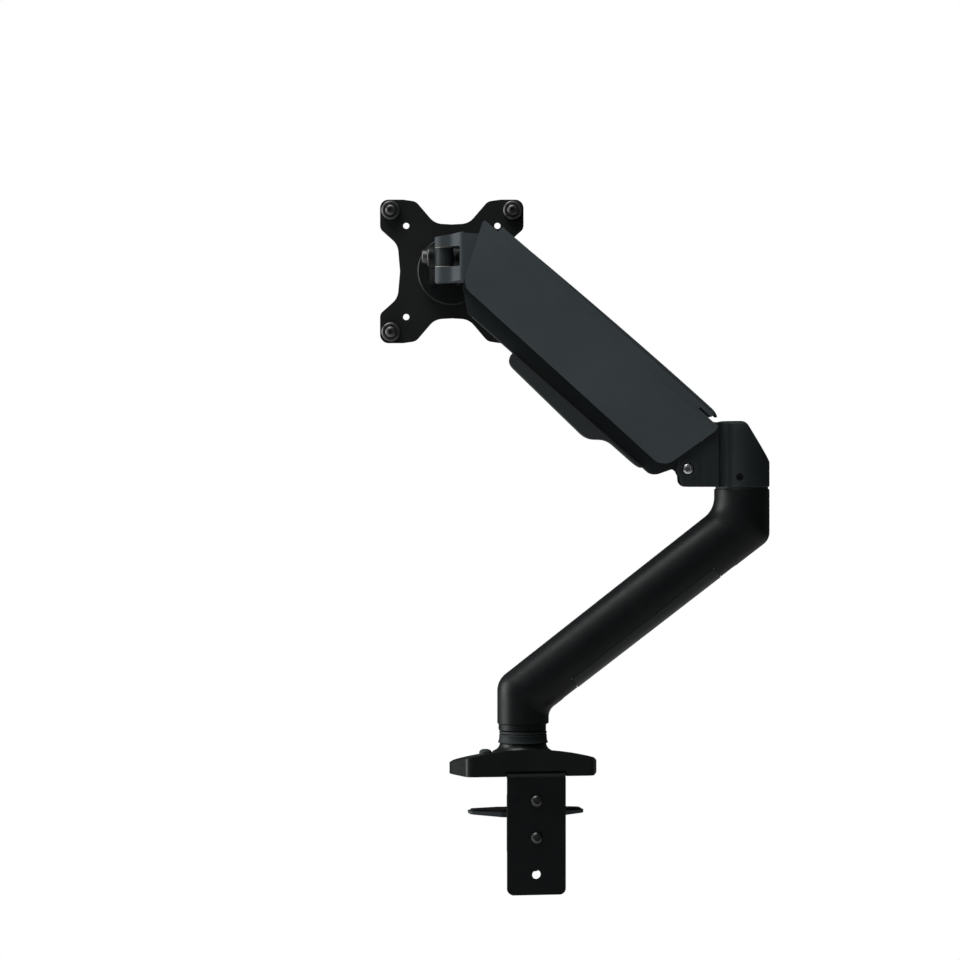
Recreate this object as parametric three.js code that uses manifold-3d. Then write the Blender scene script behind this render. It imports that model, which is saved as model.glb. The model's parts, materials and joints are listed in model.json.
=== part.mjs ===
// Monitor arm with a desk clamp: a swivelling lower arm, an elbow, a sprung parallelogram
// upper arm and a VESA head that pans, tilts and rotates.
// Millimetres, +Z up. The origin is on the base swivel axis, in the plane of the desk top.
// The clamp's back plate faces -Y and the desk lies towards +Y.

import * as THREE from 'three';
import { mergeVertices } from 'three/addons/utils/BufferGeometryUtils.js';
import Module from 'manifold-3d';

const wasm = await Module();
wasm.setup();

// ---------------------------------------------------------------- driving dimensions

const GAP = 0.3;                 // clearance between pieces that touch
const SIDES = 24;                // facets round a large cylinder
const MID = 14;                  // round a pin or a screw head
const SMALL = 10;                // round a small hole or shank
const ARM_YAW = -9;              // degrees the arms are turned about the base swivel axis

// base and desk clamp
const COVER_WALL = 2.4;
const COVER_FRONT = 37;          // swivel axis to the cover's front and back faces
const COVER_CORNER_X = 50.5;     // half width at the front and back faces
const COVER_WAIST_X = 60.5;      // half width at the middle, before rounding
const COVER_TOP = 21.5;          // height of the crowned top at the middle of its front edge
const CROWN_RADIUS = 198;
const CROWN_SLOPE = -5.4;        // degrees the crowned top falls away from its front edge
const PAD_THICK = 3.2;
const PLATE_THICK = 5;
const BRACKET_X = 4;             // the clamp sits a little off the swivel axis
const BRACKET_WIDTH = 46.6;
const BRACKET_THICK = 3.2;
const BRACKET_FACE = -40.5;      // Y of the back plate's outer face
const BRACKET_BOTTOM = -92.8;
const HOLE_TOP = -18.8;          // height of the highest of three clamp holes
const HOLE_PITCH = 29;
const JAW_WIDTH = 93;
const JAW_TOP = -29.5;
const JAW_Y = 11;
const PAD_FACE = 1;              // thickness of the pad on the jaw
const SHELF_TOP = -36.4;
const SHELF_THICK = 3.4;
const SCREW_RADIUS = 5;
const SCREW_BOTTOM = -79;
const KNOB_GRIP = 11;            // height of the clamp knob's lobes
const KNOB_HEIGHT = 13.2;        // height of the whole knob, hub and all

// swivel column
const POST_RADIUS = 13.5;
const POST_TOP = 74;
const STEM_RADIUS = 18.6;
const COLLAR_RADIUS = 20;
const COLLAR_BOTTOM = 24;
const COLLAR_TOP = 31;
const ARM_BOTTOM = 34;

// lower arm
const LOWER_RADIUS = 20.6;
const ELBOW_X = 175;
const ELBOW_RADIUS = 22.1;
const BEND_LOW_Z = 63;
const BEND_HIGH_Z = 199.7;
const LOWER_ARM_TOP = 227;
const BEAM_HALF_HEIGHT = 22.5;
const BEAM_HALF_WIDTH = 21;

// elbow and parallelogram pivots, as [x, z] in the plane of the arms
const KNUCKLE_BOTTOM = 228.5;
const KNUCKLE_TOP = 281;
const PIVOT_A1 = [140, 269];
const PIVOT_A2 = [130.7, 242.7];
const PIVOT_B1 = [-28.8, 418];

// widths across the upper arm, from its middle plane
const COVER_OUT = 23;
const COVER_IN = 20.6;
const CHEEK_OUT = 19.9;
const CHEEK_IN = 15.6;
const FRAME_OUT = 15;
const FRAME_IN = 12;
const LINK_OUT = 11;
const LINK_IN = 8;

// head
const PAN_X = -62.8;
const TILT_Y = 33;
const TILT_Z = 415;
const HUB_X = -57.6;
const HUB_Z = 405.6;
const PLATE_BACK = 73.2;         // depth of the VESA plate's mounting face
const VESA_PITCH = 100;
const VESA_SMALL_PITCH = 75;

// ---------------------------------------------------------------- finishes

const FINISH = {
  coat: { color: 0x1a1d1f, roughness: 0.5, metalness: 0.25 },
  shell: { color: 0x23292b, roughness: 0.55, metalness: 0 },
  dark: { color: 0x121314, roughness: 0.6, metalness: 0.1 },
  plate: { color: 0x1b1918, roughness: 0.6, metalness: 0.25 },
  steel: { color: 0xb9bdc0, roughness: 0.3, metalness: 1 },
  black_steel: { color: 0x17181a, roughness: 0.4, metalness: 0.7 },
  bush: { color: 0xd9d6cc, roughness: 0.6, metalness: 0 },
  foam: { color: 0x0f0f10, roughness: 0.95, metalness: 0 },
};

// ---------------------------------------------------------------- shape helpers

/** Closed solid from a closed surface, turned right side out. */
function solid(geometry) {
  const shell = geometry.index ? geometry.toNonIndexed() : geometry.clone();
  shell.deleteAttribute('normal');
  shell.deleteAttribute('uv');
  const merged = mergeVertices(shell, 1e-4);
  const triVerts = Uint32Array.from(merged.index.array);
  const vertProperties = Float32Array.from(merged.attributes.position.array);
  const first = new wasm.Manifold(new wasm.Mesh({ numProp: 3, vertProperties, triVerts }));
  if (first.volume() > 0) {
    return first;
  }
  const flipped = triVerts.map((_, i) => triVerts[i - (i % 3) + 2 - (i % 3)]);
  return new wasm.Manifold(new wasm.Mesh({ numProp: 3, vertProperties, triVerts: flipped }));
}

/** Surface of a solid, for display. */
function toGeometry(manifold) {
  const mesh = manifold.getMesh();
  const geometry = new THREE.BufferGeometry();
  geometry.setAttribute('position', new THREE.BufferAttribute(mesh.vertProperties, 3));
  geometry.setIndex(new THREE.BufferAttribute(mesh.triVerts, 1));
  geometry.computeVertexNormals();
  return geometry;
}

/** Joins several solids. */
function join(...solids) {
  return solids.reduce((sum, next) => sum.add(next));
}

/** Cuts every tool from the first solid. */
function cut(body, ...tools) {
  return tools.reduce((rest, tool) => rest.subtract(tool), body);
}

/** Box between two corners. */
function block(x0, x1, y0, y1, z0, z1) {
  const geometry = new THREE.BoxGeometry(x1 - x0, y1 - y0, z1 - z0);
  geometry.translate((x0 + x1) / 2, (y0 + y1) / 2, (z0 + z1) / 2);
  return solid(geometry);
}

/** Cylinder along an axis; from and to lie on that axis, a and b are the other two in XYZ order. */
function rod(axis, radius, from, to, a = 0, b = 0, sides = SIDES) {
  const geometry = new THREE.CylinderGeometry(radius, radius, to - from, sides);
  const middle = (from + to) / 2;
  if (axis === 'x') {
    geometry.rotateZ(-Math.PI / 2);
    geometry.translate(middle, a, b);
  } else if (axis === 'y') {
    geometry.translate(a, middle, b);
  } else {
    geometry.rotateX(Math.PI / 2);
    geometry.translate(a, b, middle);
  }
  return solid(geometry);
}

/** Solid of revolution about Z through (x, y); profile is a list of [radius, z]. */
function revolve(profile, x = 0, y = 0, sides = SIDES) {
  const points = profile.map(([r, z]) => new THREE.Vector2(r, z));
  const geometry = new THREE.LatheGeometry(points, sides);
  geometry.rotateX(Math.PI / 2);
  geometry.translate(x, y, 0);
  return solid(geometry);
}

/** Polygon with rounded corners; each corner is [x, y, radius]. */
function rounded(corners, step = 30) {
  const points = [];
  corners.forEach(([x, y, radius = 0], i) => {
    const here = new THREE.Vector2(x, y);
    const before = corners[(i + corners.length - 1) % corners.length];
    const after = corners[(i + 1) % corners.length];
    const back = new THREE.Vector2(before[0], before[1]).sub(here).normalize();
    const ahead = new THREE.Vector2(after[0], after[1]).sub(here).normalize();
    const inner = Math.acos(THREE.MathUtils.clamp(back.dot(ahead), -1, 1));
    if (radius === 0 || Math.abs(Math.PI - inner) < 1e-3) {
      points.push(here);
      return;
    }
    const reach = radius / Math.tan(inner / 2);
    const centre = back.clone().add(ahead).normalize();
    centre.multiplyScalar(radius / Math.sin(inner / 2)).add(here);
    const start = here.clone().addScaledVector(back, reach).sub(centre);
    const turn = Math.sign(back.x * ahead.y - back.y * ahead.x) * -(Math.PI - inner);
    const count = Math.max(2, Math.ceil(Math.abs(turn) / THREE.MathUtils.degToRad(step)));
    for (let k = 0; k <= count; k += 1) {
      const spoke = start.clone().rotateAround(new THREE.Vector2(), (turn * k) / count);
      points.push(spoke.add(centre));
    }
  });
  return new THREE.Shape(points);
}

/** Upright prism of a plan outline in XY. */
function slab(shape, z0, z1, curveSegments = 12) {
  const geometry = new THREE.ExtrudeGeometry(shape, {
    depth: z1 - z0, bevelEnabled: false, curveSegments,
  });
  geometry.translate(0, 0, z0);
  return solid(geometry);
}

/** Prism along Y of an elevation outline in XZ. */
function panel(shape, y0, y1, curveSegments = 12) {
  const geometry = new THREE.ExtrudeGeometry(shape, {
    depth: y1 - y0, bevelEnabled: false, curveSegments,
  });
  geometry.rotateX(Math.PI / 2);
  geometry.translate(0, y1, 0);
  return solid(geometry);
}

/** Prism along X of an outline in YZ. */
function crossPanel(shape, x0, x1, curveSegments = 12) {
  const geometry = new THREE.ExtrudeGeometry(shape, {
    depth: x1 - x0, bevelEnabled: false, curveSegments,
  });
  geometry.rotateY(Math.PI / 2);
  geometry.rotateX(Math.PI / 2);
  geometry.translate(x0, 0, 0);
  return solid(geometry);
}

/** Rectangle outline with rounded corners. */
function rectangle(x0, x1, y0, y1, radius) {
  return rounded([[x0, y0, radius], [x1, y0, radius], [x1, y1, radius], [x0, y1, radius]]);
}

/** Adds a solid to a group under its name, with its finish. */
function place(group, name, body, finish) {
  const mesh = new THREE.Mesh(toGeometry(body), new THREE.MeshStandardMaterial(FINISH[finish]));
  mesh.name = name;
  group.add(mesh);
}

/** Cap screw along Y or Z: shank, head and a hexagon socket in the head. */
function capScrew(axis, spot, head, shank) {
  const [a, b] = spot;
  const outward = Math.sign(head.to - head.from);
  const low = Math.min(head.from, head.to);
  const high = Math.max(head.from, head.to);
  const tip = Math.min(shank.from, shank.to);
  const root = Math.max(shank.from, shank.to);
  const body = rod(axis, head.radius, low, high, a, b, MID);
  const stem = rod(axis, shank.radius, tip, root, a, b, SMALL);
  const floor = head.to - outward * head.socket;
  const mouth = head.to + outward;
  const key = rod(axis, head.radius * 0.5, Math.min(floor, mouth), Math.max(floor, mouth), a, b, 6);
  return cut(join(body, stem), key);
}

const model = new THREE.Group();

// ---------------------------------------------------------------- base and desk clamp

/** Plan outline of the base cover, inset by a margin. */
function basePlan(inset) {
  const x = COVER_CORNER_X - inset;
  const waist = COVER_WAIST_X - inset;
  const y = COVER_FRONT - inset;
  const corner = Math.max(1, 6 - inset);
  return rounded([
    [-x, -y, corner], [x, -y, corner], [waist, 0, 40], [x, y, corner], [-x, y, corner], [-waist, 0, 40],
  ], 15);
}

/** Block under the crowned top: an arc across X that slopes down towards the back. */
function crown(top, bottom, depth) {
  const half = COVER_WAIST_X + 5;
  const shape = new THREE.Shape();
  const centre = top - CROWN_RADIUS;
  const spread = Math.asin(half / CROWN_RADIUS);
  shape.moveTo(-half, bottom);
  shape.lineTo(half, bottom);
  shape.absarc(0, centre, CROWN_RADIUS, Math.PI / 2 - spread, Math.PI / 2 + spread, false);
  return panel(shape, -depth, depth, 24)
    .translate([0, COVER_FRONT, -top])
    .rotate([CROWN_SLOPE, 0, 0])
    .translate([0, -COVER_FRONT, top]);
}

const BRACKET_LEFT = BRACKET_X - BRACKET_WIDTH / 2;
const BRACKET_RIGHT = BRACKET_X + BRACKET_WIDTH / 2;
const BRACKET_INNER = BRACKET_FACE + BRACKET_THICK;
const LEG_BACK = -9;
const BASE_SCREWS = [[BRACKET_X - 14, -21], [BRACKET_X + 14, -21]];
const KNOB_SPOT = [-33, -16];
const KNOB_SEAT = COVER_TOP - 5;

function deskPad() {
  const pad = slab(basePlan(4), 0, PAD_THICK);
  const slot = block(
    BRACKET_LEFT - GAP, BRACKET_RIGHT + GAP, -COVER_FRONT - 5, LEG_BACK + GAP, -1, PAD_THICK + 1,
  );
  return pad.subtract(slot);
}

const PLATE_BOTTOM = PAD_THICK + GAP;
const PLATE_TOP = PLATE_BOTTOM + PLATE_THICK;

function basePlate() {
  const underCrown = crown(COVER_TOP - COVER_WALL - 0.5, -10, 60);
  const plate = slab(basePlan(4.2), PLATE_BOTTOM, PLATE_TOP).intersect(underCrown);
  const holes = BASE_SCREWS.map(([x, y]) => rod('z', 3.3, 0, 20, x, y, SMALL));
  const seat = rod('z', POST_RADIUS + GAP, 0, 20);
  const knob = rod('z', 2.3, 0, 20, ...KNOB_SPOT, SMALL);
  return cut(plate, ...holes, seat, knob);
}

function swivelPost() {
  return revolve([
    [0, PLATE_BOTTOM], [POST_RADIUS, PLATE_BOTTOM], [POST_RADIUS, PLATE_TOP + GAP],
    [POST_RADIUS + 6, PLATE_TOP + GAP], [POST_RADIUS + 6, PLATE_TOP + 3.5],
    [POST_RADIUS, PLATE_TOP + 3.5], [POST_RADIUS, POST_TOP - 1.5],
    [POST_RADIUS - 1.5, POST_TOP], [0, POST_TOP],
  ]);
}

function baseCover() {
  const outside = slab(basePlan(0), 0.2, 40).intersect(crown(COVER_TOP, -5, 60));
  const stem = revolve([
    [0, 10], [STEM_RADIUS + 5, 10], [STEM_RADIUS + 5, COVER_TOP - 4], [STEM_RADIUS + 0.8, COVER_TOP - 1.5],
    [STEM_RADIUS, COLLAR_BOTTOM - GAP], [0, COLLAR_BOTTOM - GAP],
  ]);
  const hollow = slab(basePlan(COVER_WALL), -1, 40).intersect(crown(COVER_TOP - COVER_WALL, -10, 60));
  const bore = rod('z', POST_RADIUS + GAP, 0, 40);
  const notch = block(
    BRACKET_LEFT - 1, BRACKET_RIGHT + 1, -COVER_FRONT - 5, -COVER_FRONT + COVER_WALL + 1, -5, 4.4,
  );
  const knob = rod('z', 2.3, 0, 40, ...KNOB_SPOT, SMALL);
  const boss = rod('z', 6.8, 10, KNOB_SEAT - GAP, ...KNOB_SPOT, MID);
  const recess = rod('z', 5.4, KNOB_SEAT - GAP, 40, ...KNOB_SPOT, MID);
  return cut(join(outside, stem, boss), hollow, bore, notch, knob, recess);
}

/** Domed cap screw that holds the cover to the base plate. */
function coverKnob() {
  const seat = KNOB_SEAT;
  return revolve([
    [0, PLATE_BOTTOM], [2, PLATE_BOTTOM], [2, seat], [5, seat], [5, seat + 2],
    [4.3, seat + 3.2], [2.6, seat + 4], [0, seat + 4.2],
  ], ...KNOB_SPOT, SMALL);
}

function backBracket() {
  const bend = BRACKET_THICK + 2.4;
  const side = new THREE.Shape();
  side.moveTo(LEG_BACK, 0);
  side.lineTo(LEG_BACK, BRACKET_THICK);
  side.lineTo(BRACKET_FACE + bend, BRACKET_THICK);
  side.absarc(BRACKET_FACE + bend, BRACKET_THICK - bend, bend, Math.PI / 2, Math.PI, false);
  side.lineTo(BRACKET_FACE, BRACKET_BOTTOM);
  side.lineTo(BRACKET_INNER, BRACKET_BOTTOM);
  side.lineTo(BRACKET_INNER, BRACKET_THICK - bend);
  side.absarc(BRACKET_FACE + bend, BRACKET_THICK - bend, bend - BRACKET_THICK, Math.PI, Math.PI / 2, true);
  const strip = crossPanel(side, BRACKET_LEFT, BRACKET_RIGHT, 6);
  const front = panel(rounded([
    [BRACKET_LEFT, BRACKET_BOTTOM, 5], [BRACKET_RIGHT, BRACKET_BOTTOM, 5],
    [BRACKET_RIGHT, 20, 0], [BRACKET_LEFT, 20, 0],
  ]), -60, 20);
  const holes = [0, 1, 2].map((i) => rod(
    'y', 3.6, -60, BRACKET_INNER + 5, BRACKET_X, HOLE_TOP - i * HOLE_PITCH, 20,
  ));
  const sinks = BASE_SCREWS.map(([x, y]) => rod('z', 6, -5, 1.9, x, y, MID));
  const shanks = BASE_SCREWS.map(([x, y]) => rod('z', 3.3, -5, 10, x, y, SMALL));
  return cut(strip.intersect(front), ...holes, ...sinks, ...shanks);
}

/** T-shaped clamp bracket: an upright leg behind the back plate and a shelf for the screw. */
function clampBracket() {
  const y0 = BRACKET_INNER + GAP;
  const legBack = y0 + 3.4;
  const half = BRACKET_WIDTH / 2 - 0.4;
  const shelfHalf = 14;
  const leg = panel(rectangle(BRACKET_X - half, BRACKET_X + half, -62, -11, 4), y0, legBack);
  const shelf = slab(
    rounded([
      [BRACKET_X - shelfHalf, y0, 0], [BRACKET_X + shelfHalf, y0, 0],
      [BRACKET_X + shelfHalf, 26, 8], [BRACKET_X - shelfHalf, 26, 8],
    ]), SHELF_TOP - SHELF_THICK, SHELF_TOP,
  );
  const web = new THREE.Shape([
    new THREE.Vector2(legBack - 0.5, SHELF_TOP - 1), new THREE.Vector2(legBack - 0.5, -58),
    new THREE.Vector2(legBack + 3, -58), new THREE.Vector2(20, SHELF_TOP - 1),
  ]);
  const ribs = [-1, 1].map((side) => {
    const middle = BRACKET_X + side * (shelfHalf - 1.3);
    return crossPanel(web, middle - 1.3, middle + 1.3);
  });
  const holes = [0, 1].map((i) => rod(
    'y', 3.3, -60, legBack + 5, BRACKET_X, HOLE_TOP - i * HOLE_PITCH, SMALL,
  ));
  const bore = rod('z', 8, -60, -20, BRACKET_X, JAW_Y, MID);
  return cut(join(leg, shelf, ...ribs), ...holes, bore);
}

/** Flanged nut in the shelf; the clamp screw runs in it. */
function clampNut() {
  const under = SHELF_TOP - SHELF_THICK;
  const nut = revolve([
    [SCREW_RADIUS + 0.25, under - 5], [9.5, under - 5], [9.5, under - GAP], [7.7, under - GAP],
    [7.7, SHELF_TOP - 0.2], [SCREW_RADIUS + 0.25, SHELF_TOP - 0.2], [SCREW_RADIUS + 0.25, under - 5],
  ], BRACKET_X, JAW_Y, MID);
  return nut;
}

/** Screw that holds the clamp bracket to the back plate. */
function bracketScrew(z) {
  return capScrew('y', [BRACKET_X, z],
    { radius: 4.75, from: BRACKET_FACE - GAP, to: BRACKET_FACE - 3, socket: 2 },
    { radius: 2.9, from: BRACKET_FACE - 1, to: BRACKET_INNER + 6.5 });
}

/** Screw through the bracket's top leg, up into the base plate. */
function baseScrew(x, y) {
  return capScrew('z', [x, y],
    { radius: 5.6, from: 1.6, to: 0.1, socket: 1.1 },
    { radius: 2.9, from: 1, to: PLATE_TOP + 1.5 });
}

/** Plan outline of the jaw: a broad middle with a wing on each side. */
function jawPlan(half, middle, wing, depth, corner) {
  return rounded([
    [BRACKET_X - half, JAW_Y - wing, corner], [BRACKET_X - middle, JAW_Y - depth, corner + 1],
    [BRACKET_X + middle, JAW_Y - depth, corner + 1], [BRACKET_X + half, JAW_Y - wing, corner],
    [BRACKET_X + half, JAW_Y + wing, corner], [BRACKET_X + middle, JAW_Y + depth, corner + 1],
    [BRACKET_X - middle, JAW_Y + depth, corner + 1], [BRACKET_X - half, JAW_Y + wing, corner],
  ]);
}

/** Pressure plate, thicker towards the middle, with a socket for the screw's flange. */
function clampJaw() {
  const half = JAW_WIDTH / 2;
  const top = JAW_TOP - PAD_FACE - GAP;
  const side = rounded([
    [BRACKET_X - half, top, 0], [BRACKET_X - half, top - 2.4, 1], [BRACKET_X - 20, top - 4.4, 0],
    [BRACKET_X + 20, top - 4.4, 0], [BRACKET_X + half, top - 2.4, 1], [BRACKET_X + half, top, 0],
  ]);
  const plan = jawPlan(half, 22, 7, 15, 5);
  const wings = slab(plan, top - 10, top + 5).intersect(panel(side, -60, 60));
  const socket = rod('z', 6.3, top - 2.6, top + 1, BRACKET_X, JAW_Y, MID);
  const throat = rod('z', SCREW_RADIUS + 0.3, top - 20, top, BRACKET_X, JAW_Y, MID);
  return cut(wings, socket, throat);
}

function jawPad() {
  return slab(jawPlan(JAW_WIDTH / 2 - 2, 21, 5.4, 13.4, 4), JAW_TOP - PAD_FACE, JAW_TOP);
}

/** Clamp screw: its flange turns in the pressure plate, its end is held in the knob. */
function clampScrew() {
  const top = JAW_TOP - PAD_FACE - GAP;
  return revolve([
    [0, SCREW_BOTTOM + 3], [3.4, SCREW_BOTTOM + 3], [3.4, SCREW_BOTTOM + KNOB_HEIGHT + 0.4],
    [SCREW_RADIUS, SCREW_BOTTOM + KNOB_HEIGHT + 1.6], [SCREW_RADIUS, top - 2.3],
    [6, top - 2.3], [6, top - GAP], [0, top - GAP],
  ], BRACKET_X, JAW_Y, MID);
}

/** Five-lobed hand knob on the lower end of the clamp screw. */
function clampKnob() {
  const shape = new THREE.Shape();
  const lobes = 5;
  const steps = 60;
  for (let i = 0; i < steps; i += 1) {
    const angle = (2 * Math.PI * i) / steps;
    const radius = 14.2 + 1.4 * Math.cos(lobes * angle);
    const x = BRACKET_X + radius * Math.cos(angle);
    const y = JAW_Y + radius * Math.sin(angle);
    if (i === 0) {
      shape.moveTo(x, y);
    } else {
      shape.lineTo(x, y);
    }
  }
  const grip = slab(shape, SCREW_BOTTOM, SCREW_BOTTOM + KNOB_GRIP);
  const hub = revolve([
    [0, SCREW_BOTTOM], [8, SCREW_BOTTOM],
    [8, SCREW_BOTTOM + KNOB_HEIGHT], [0, SCREW_BOTTOM + KNOB_HEIGHT],
  ], BRACKET_X, JAW_Y, MID);
  const bore = rod('z', 3.7, SCREW_BOTTOM + 2.5, SCREW_BOTTOM + 30, BRACKET_X, JAW_Y, SMALL);
  return cut(join(grip, hub), bore);
}

place(model, 'desk_pad', deskPad(), 'foam');
place(model, 'base_plate', basePlate(), 'black_steel');
place(model, 'swivel_post', swivelPost(), 'steel');
place(model, 'base_cover', baseCover(), 'shell');
place(model, 'cover_knob', coverKnob(), 'dark');
place(model, 'back_bracket', backBracket(), 'coat');
place(model, 'clamp_bracket', clampBracket(), 'coat');
place(model, 'clamp_nut', clampNut(), 'black_steel');
place(model, 'bracket_screw_1', bracketScrew(HOLE_TOP), 'black_steel');
place(model, 'bracket_screw_2', bracketScrew(HOLE_TOP - HOLE_PITCH), 'black_steel');
BASE_SCREWS.forEach(([x, y], i) => place(model, `base_screw_${i + 1}`, baseScrew(x, y), 'black_steel'));
place(model, 'clamp_jaw', clampJaw(), 'coat');
place(model, 'jaw_pad', jawPad(), 'foam');
place(model, 'clamp_screw', clampScrew(), 'black_steel');
place(model, 'clamp_knob', clampKnob(), 'dark');

// ---------------------------------------------------------------- lower arm

const arms = new THREE.Group();
arms.rotation.z = THREE.MathUtils.degToRad(ARM_YAW);
model.add(arms);

const BEAM_ANGLE = Math.atan2(BEND_HIGH_Z - BEND_LOW_Z, ELBOW_X);
const BEAM_LENGTH = Math.hypot(BEND_HIGH_Z - BEND_LOW_Z, ELBOW_X);
const BEAM_FLOOR = -13.5;        // underside of the casting, where the cable cover fits
const COVER_START = 38;
const COVER_END = 182;
const BEND = 14;                 // length of the rounded bend at each end of the beam
const MOUTH = 16;                // length of the cable slots beyond the cover
const MOUTH_HALF = 6;            // half their width

/** Moves a solid drawn along +X, with its top towards +Z, on to the sloping beam. */
function onBeam(body) {
  const slope = THREE.MathUtils.radToDeg(BEAM_ANGLE);
  return body.rotate([0, -slope, 0]).translate([0, 0, BEND_LOW_Z]);
}

/** Oval beam section between two distances along the beam. */
function beamBody(x0, x1, trim = 0) {
  const geometry = new THREE.CylinderGeometry(1, 1, x1 - x0, SIDES);
  geometry.rotateZ(-Math.PI / 2);
  geometry.scale(1, BEAM_HALF_WIDTH - trim, BEAM_HALF_HEIGHT - trim);
  geometry.translate((x0 + x1) / 2, 0, 0);
  return solid(geometry);
}

function ball(radius, x, z) {
  const geometry = new THREE.SphereGeometry(radius, SIDES, SIDES / 2);
  geometry.rotateX(Math.PI / 2);
  geometry.translate(x, 0, z);
  return solid(geometry);
}

/** Rounded bend between a ball on the axis of an upright and a slice of the beam. */
function bend(joint, slice) {
  return join(joint, onBeam(slice)).hull();
}

function lowerArm() {
  const foot = revolve([
    [0, ARM_BOTTOM], [LOWER_RADIUS - 1, ARM_BOTTOM], [LOWER_RADIUS - 1, ARM_BOTTOM + 5],
    [LOWER_RADIUS, ARM_BOTTOM + 6], [LOWER_RADIUS, BEND_LOW_Z], [0, BEND_LOW_Z],
  ]);
  const head = revolve([
    [0, BEND_HIGH_Z], [ELBOW_RADIUS, BEND_HIGH_Z], [ELBOW_RADIUS, LOWER_ARM_TOP - 0.8],
    [ELBOW_RADIUS - 0.8, LOWER_ARM_TOP], [0, LOWER_ARM_TOP],
  ], ELBOW_X);
  const body = join(
    foot, bend(ball(LOWER_RADIUS, 0, BEND_LOW_Z), beamBody(BEND, BEND + 1)),
    onBeam(beamBody(BEND, BEAM_LENGTH - BEND)),
    bend(ball(ELBOW_RADIUS, ELBOW_X, BEND_HIGH_Z), beamBody(BEAM_LENGTH - BEND - 1, BEAM_LENGTH - BEND)),
    head,
  );
  const floor = onBeam(block(COVER_START - GAP, COVER_END + GAP, -40, 40, -40, BEAM_FLOOR));
  const channel = onBeam(block(COVER_START, COVER_END, -13, 13, -40, 1));
  const mouths = onBeam(block(COVER_START - MOUTH, COVER_END + MOUTH, -MOUTH_HALF, MOUTH_HALF, -40, 1));
  const postBore = rod('z', POST_RADIUS + 3.2, ARM_BOTTOM - 5, POST_TOP + 1);
  const pinBore = rod('z', 10.3, 200, LOWER_ARM_TOP + 5, ELBOW_X);
  const exit = block(12, 30, -7, 7, ARM_BOTTOM - 4, ARM_BOTTOM + 7);
  return cut(body, floor, channel, mouths, postBore, pinBore, exit);
}

/** Snap-on trough under the beam that closes the cable channel. */
function lowerCableCover() {
  const outer = beamBody(COVER_START, COVER_END).intersect(
    block(COVER_START, COVER_END, -40, 40, -40, BEAM_FLOOR - GAP),
  );
  const inner = beamBody(COVER_START - 5, COVER_END + 5, 2).intersect(
    block(0, BEAM_LENGTH, -40, 40, -40, BEAM_FLOOR + 5),
  );
  return onBeam(cut(outer, inner));
}

/** Plain ring about a vertical axis. */
function ring(inner, outer, z0, z1, x = 0, sides = SIDES) {
  return revolve([[inner, z0], [outer, z0], [outer, z1], [inner, z1], [inner, z0]], x, 0, sides);
}

/** Plain ring about an axis across the arm. */
function crossRing(inner, outer, y0, y1, x, z, sides = MID) {
  return cut(rod('y', outer, y0, y1, x, z, sides), rod('y', inner, y0 - 1, y1 + 1, x, z, sides));
}

place(arms, 'neck_collar', revolve([
  [POST_RADIUS + GAP, COLLAR_BOTTOM], [COLLAR_RADIUS - 1, COLLAR_BOTTOM],
  [COLLAR_RADIUS, COLLAR_BOTTOM + 1], [COLLAR_RADIUS, COLLAR_TOP - 0.6],
  [COLLAR_RADIUS - 0.6, COLLAR_TOP], [POST_RADIUS + GAP, COLLAR_TOP],
  [POST_RADIUS + GAP, COLLAR_BOTTOM],
]), 'coat');
place(
  arms, 'friction_ring',
  ring(POST_RADIUS + GAP, COLLAR_RADIUS - 1, COLLAR_TOP + 0.5, ARM_BOTTOM - 0.5), 'dark',
);
place(arms, 'post_bush', ring(POST_RADIUS + GAP, POST_RADIUS + 2.9, ARM_BOTTOM + 0.5, POST_TOP - 2), 'bush');
place(arms, 'lower_arm', lowerArm(), 'coat');
place(arms, 'lower_cable_cover', lowerCableCover(), 'shell');

// ---------------------------------------------------------------- elbow

const PIN_TOP = 252;
const BLOCK = { x0: 152.3, x1: 157.7, half: 8.5, z0: 238.3, z1: 263.7 };
const SET_SCREW = [171.6, 236.4];
const SINK = 2.2;                // depth of a link bolt's head in its cheek

/** Counterbores for a pair of link bolts, one in each cheek. */
function boltSinks(x, z) {
  const floor = CHEEK_OUT - SINK - GAP;
  return join(rod('y', 4.9, floor, 40, x, z, MID), rod('y', 4.9, -40, -floor, x, z, MID));
}

/** Steel pin standing in the lower arm; the knuckle turns on it. */
function elbowPin() {
  return revolve([
    [0, 201], [10, 201], [10, PIN_TOP - 1], [9, PIN_TOP], [0, PIN_TOP],
  ], ELBOW_X);
}

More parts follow.
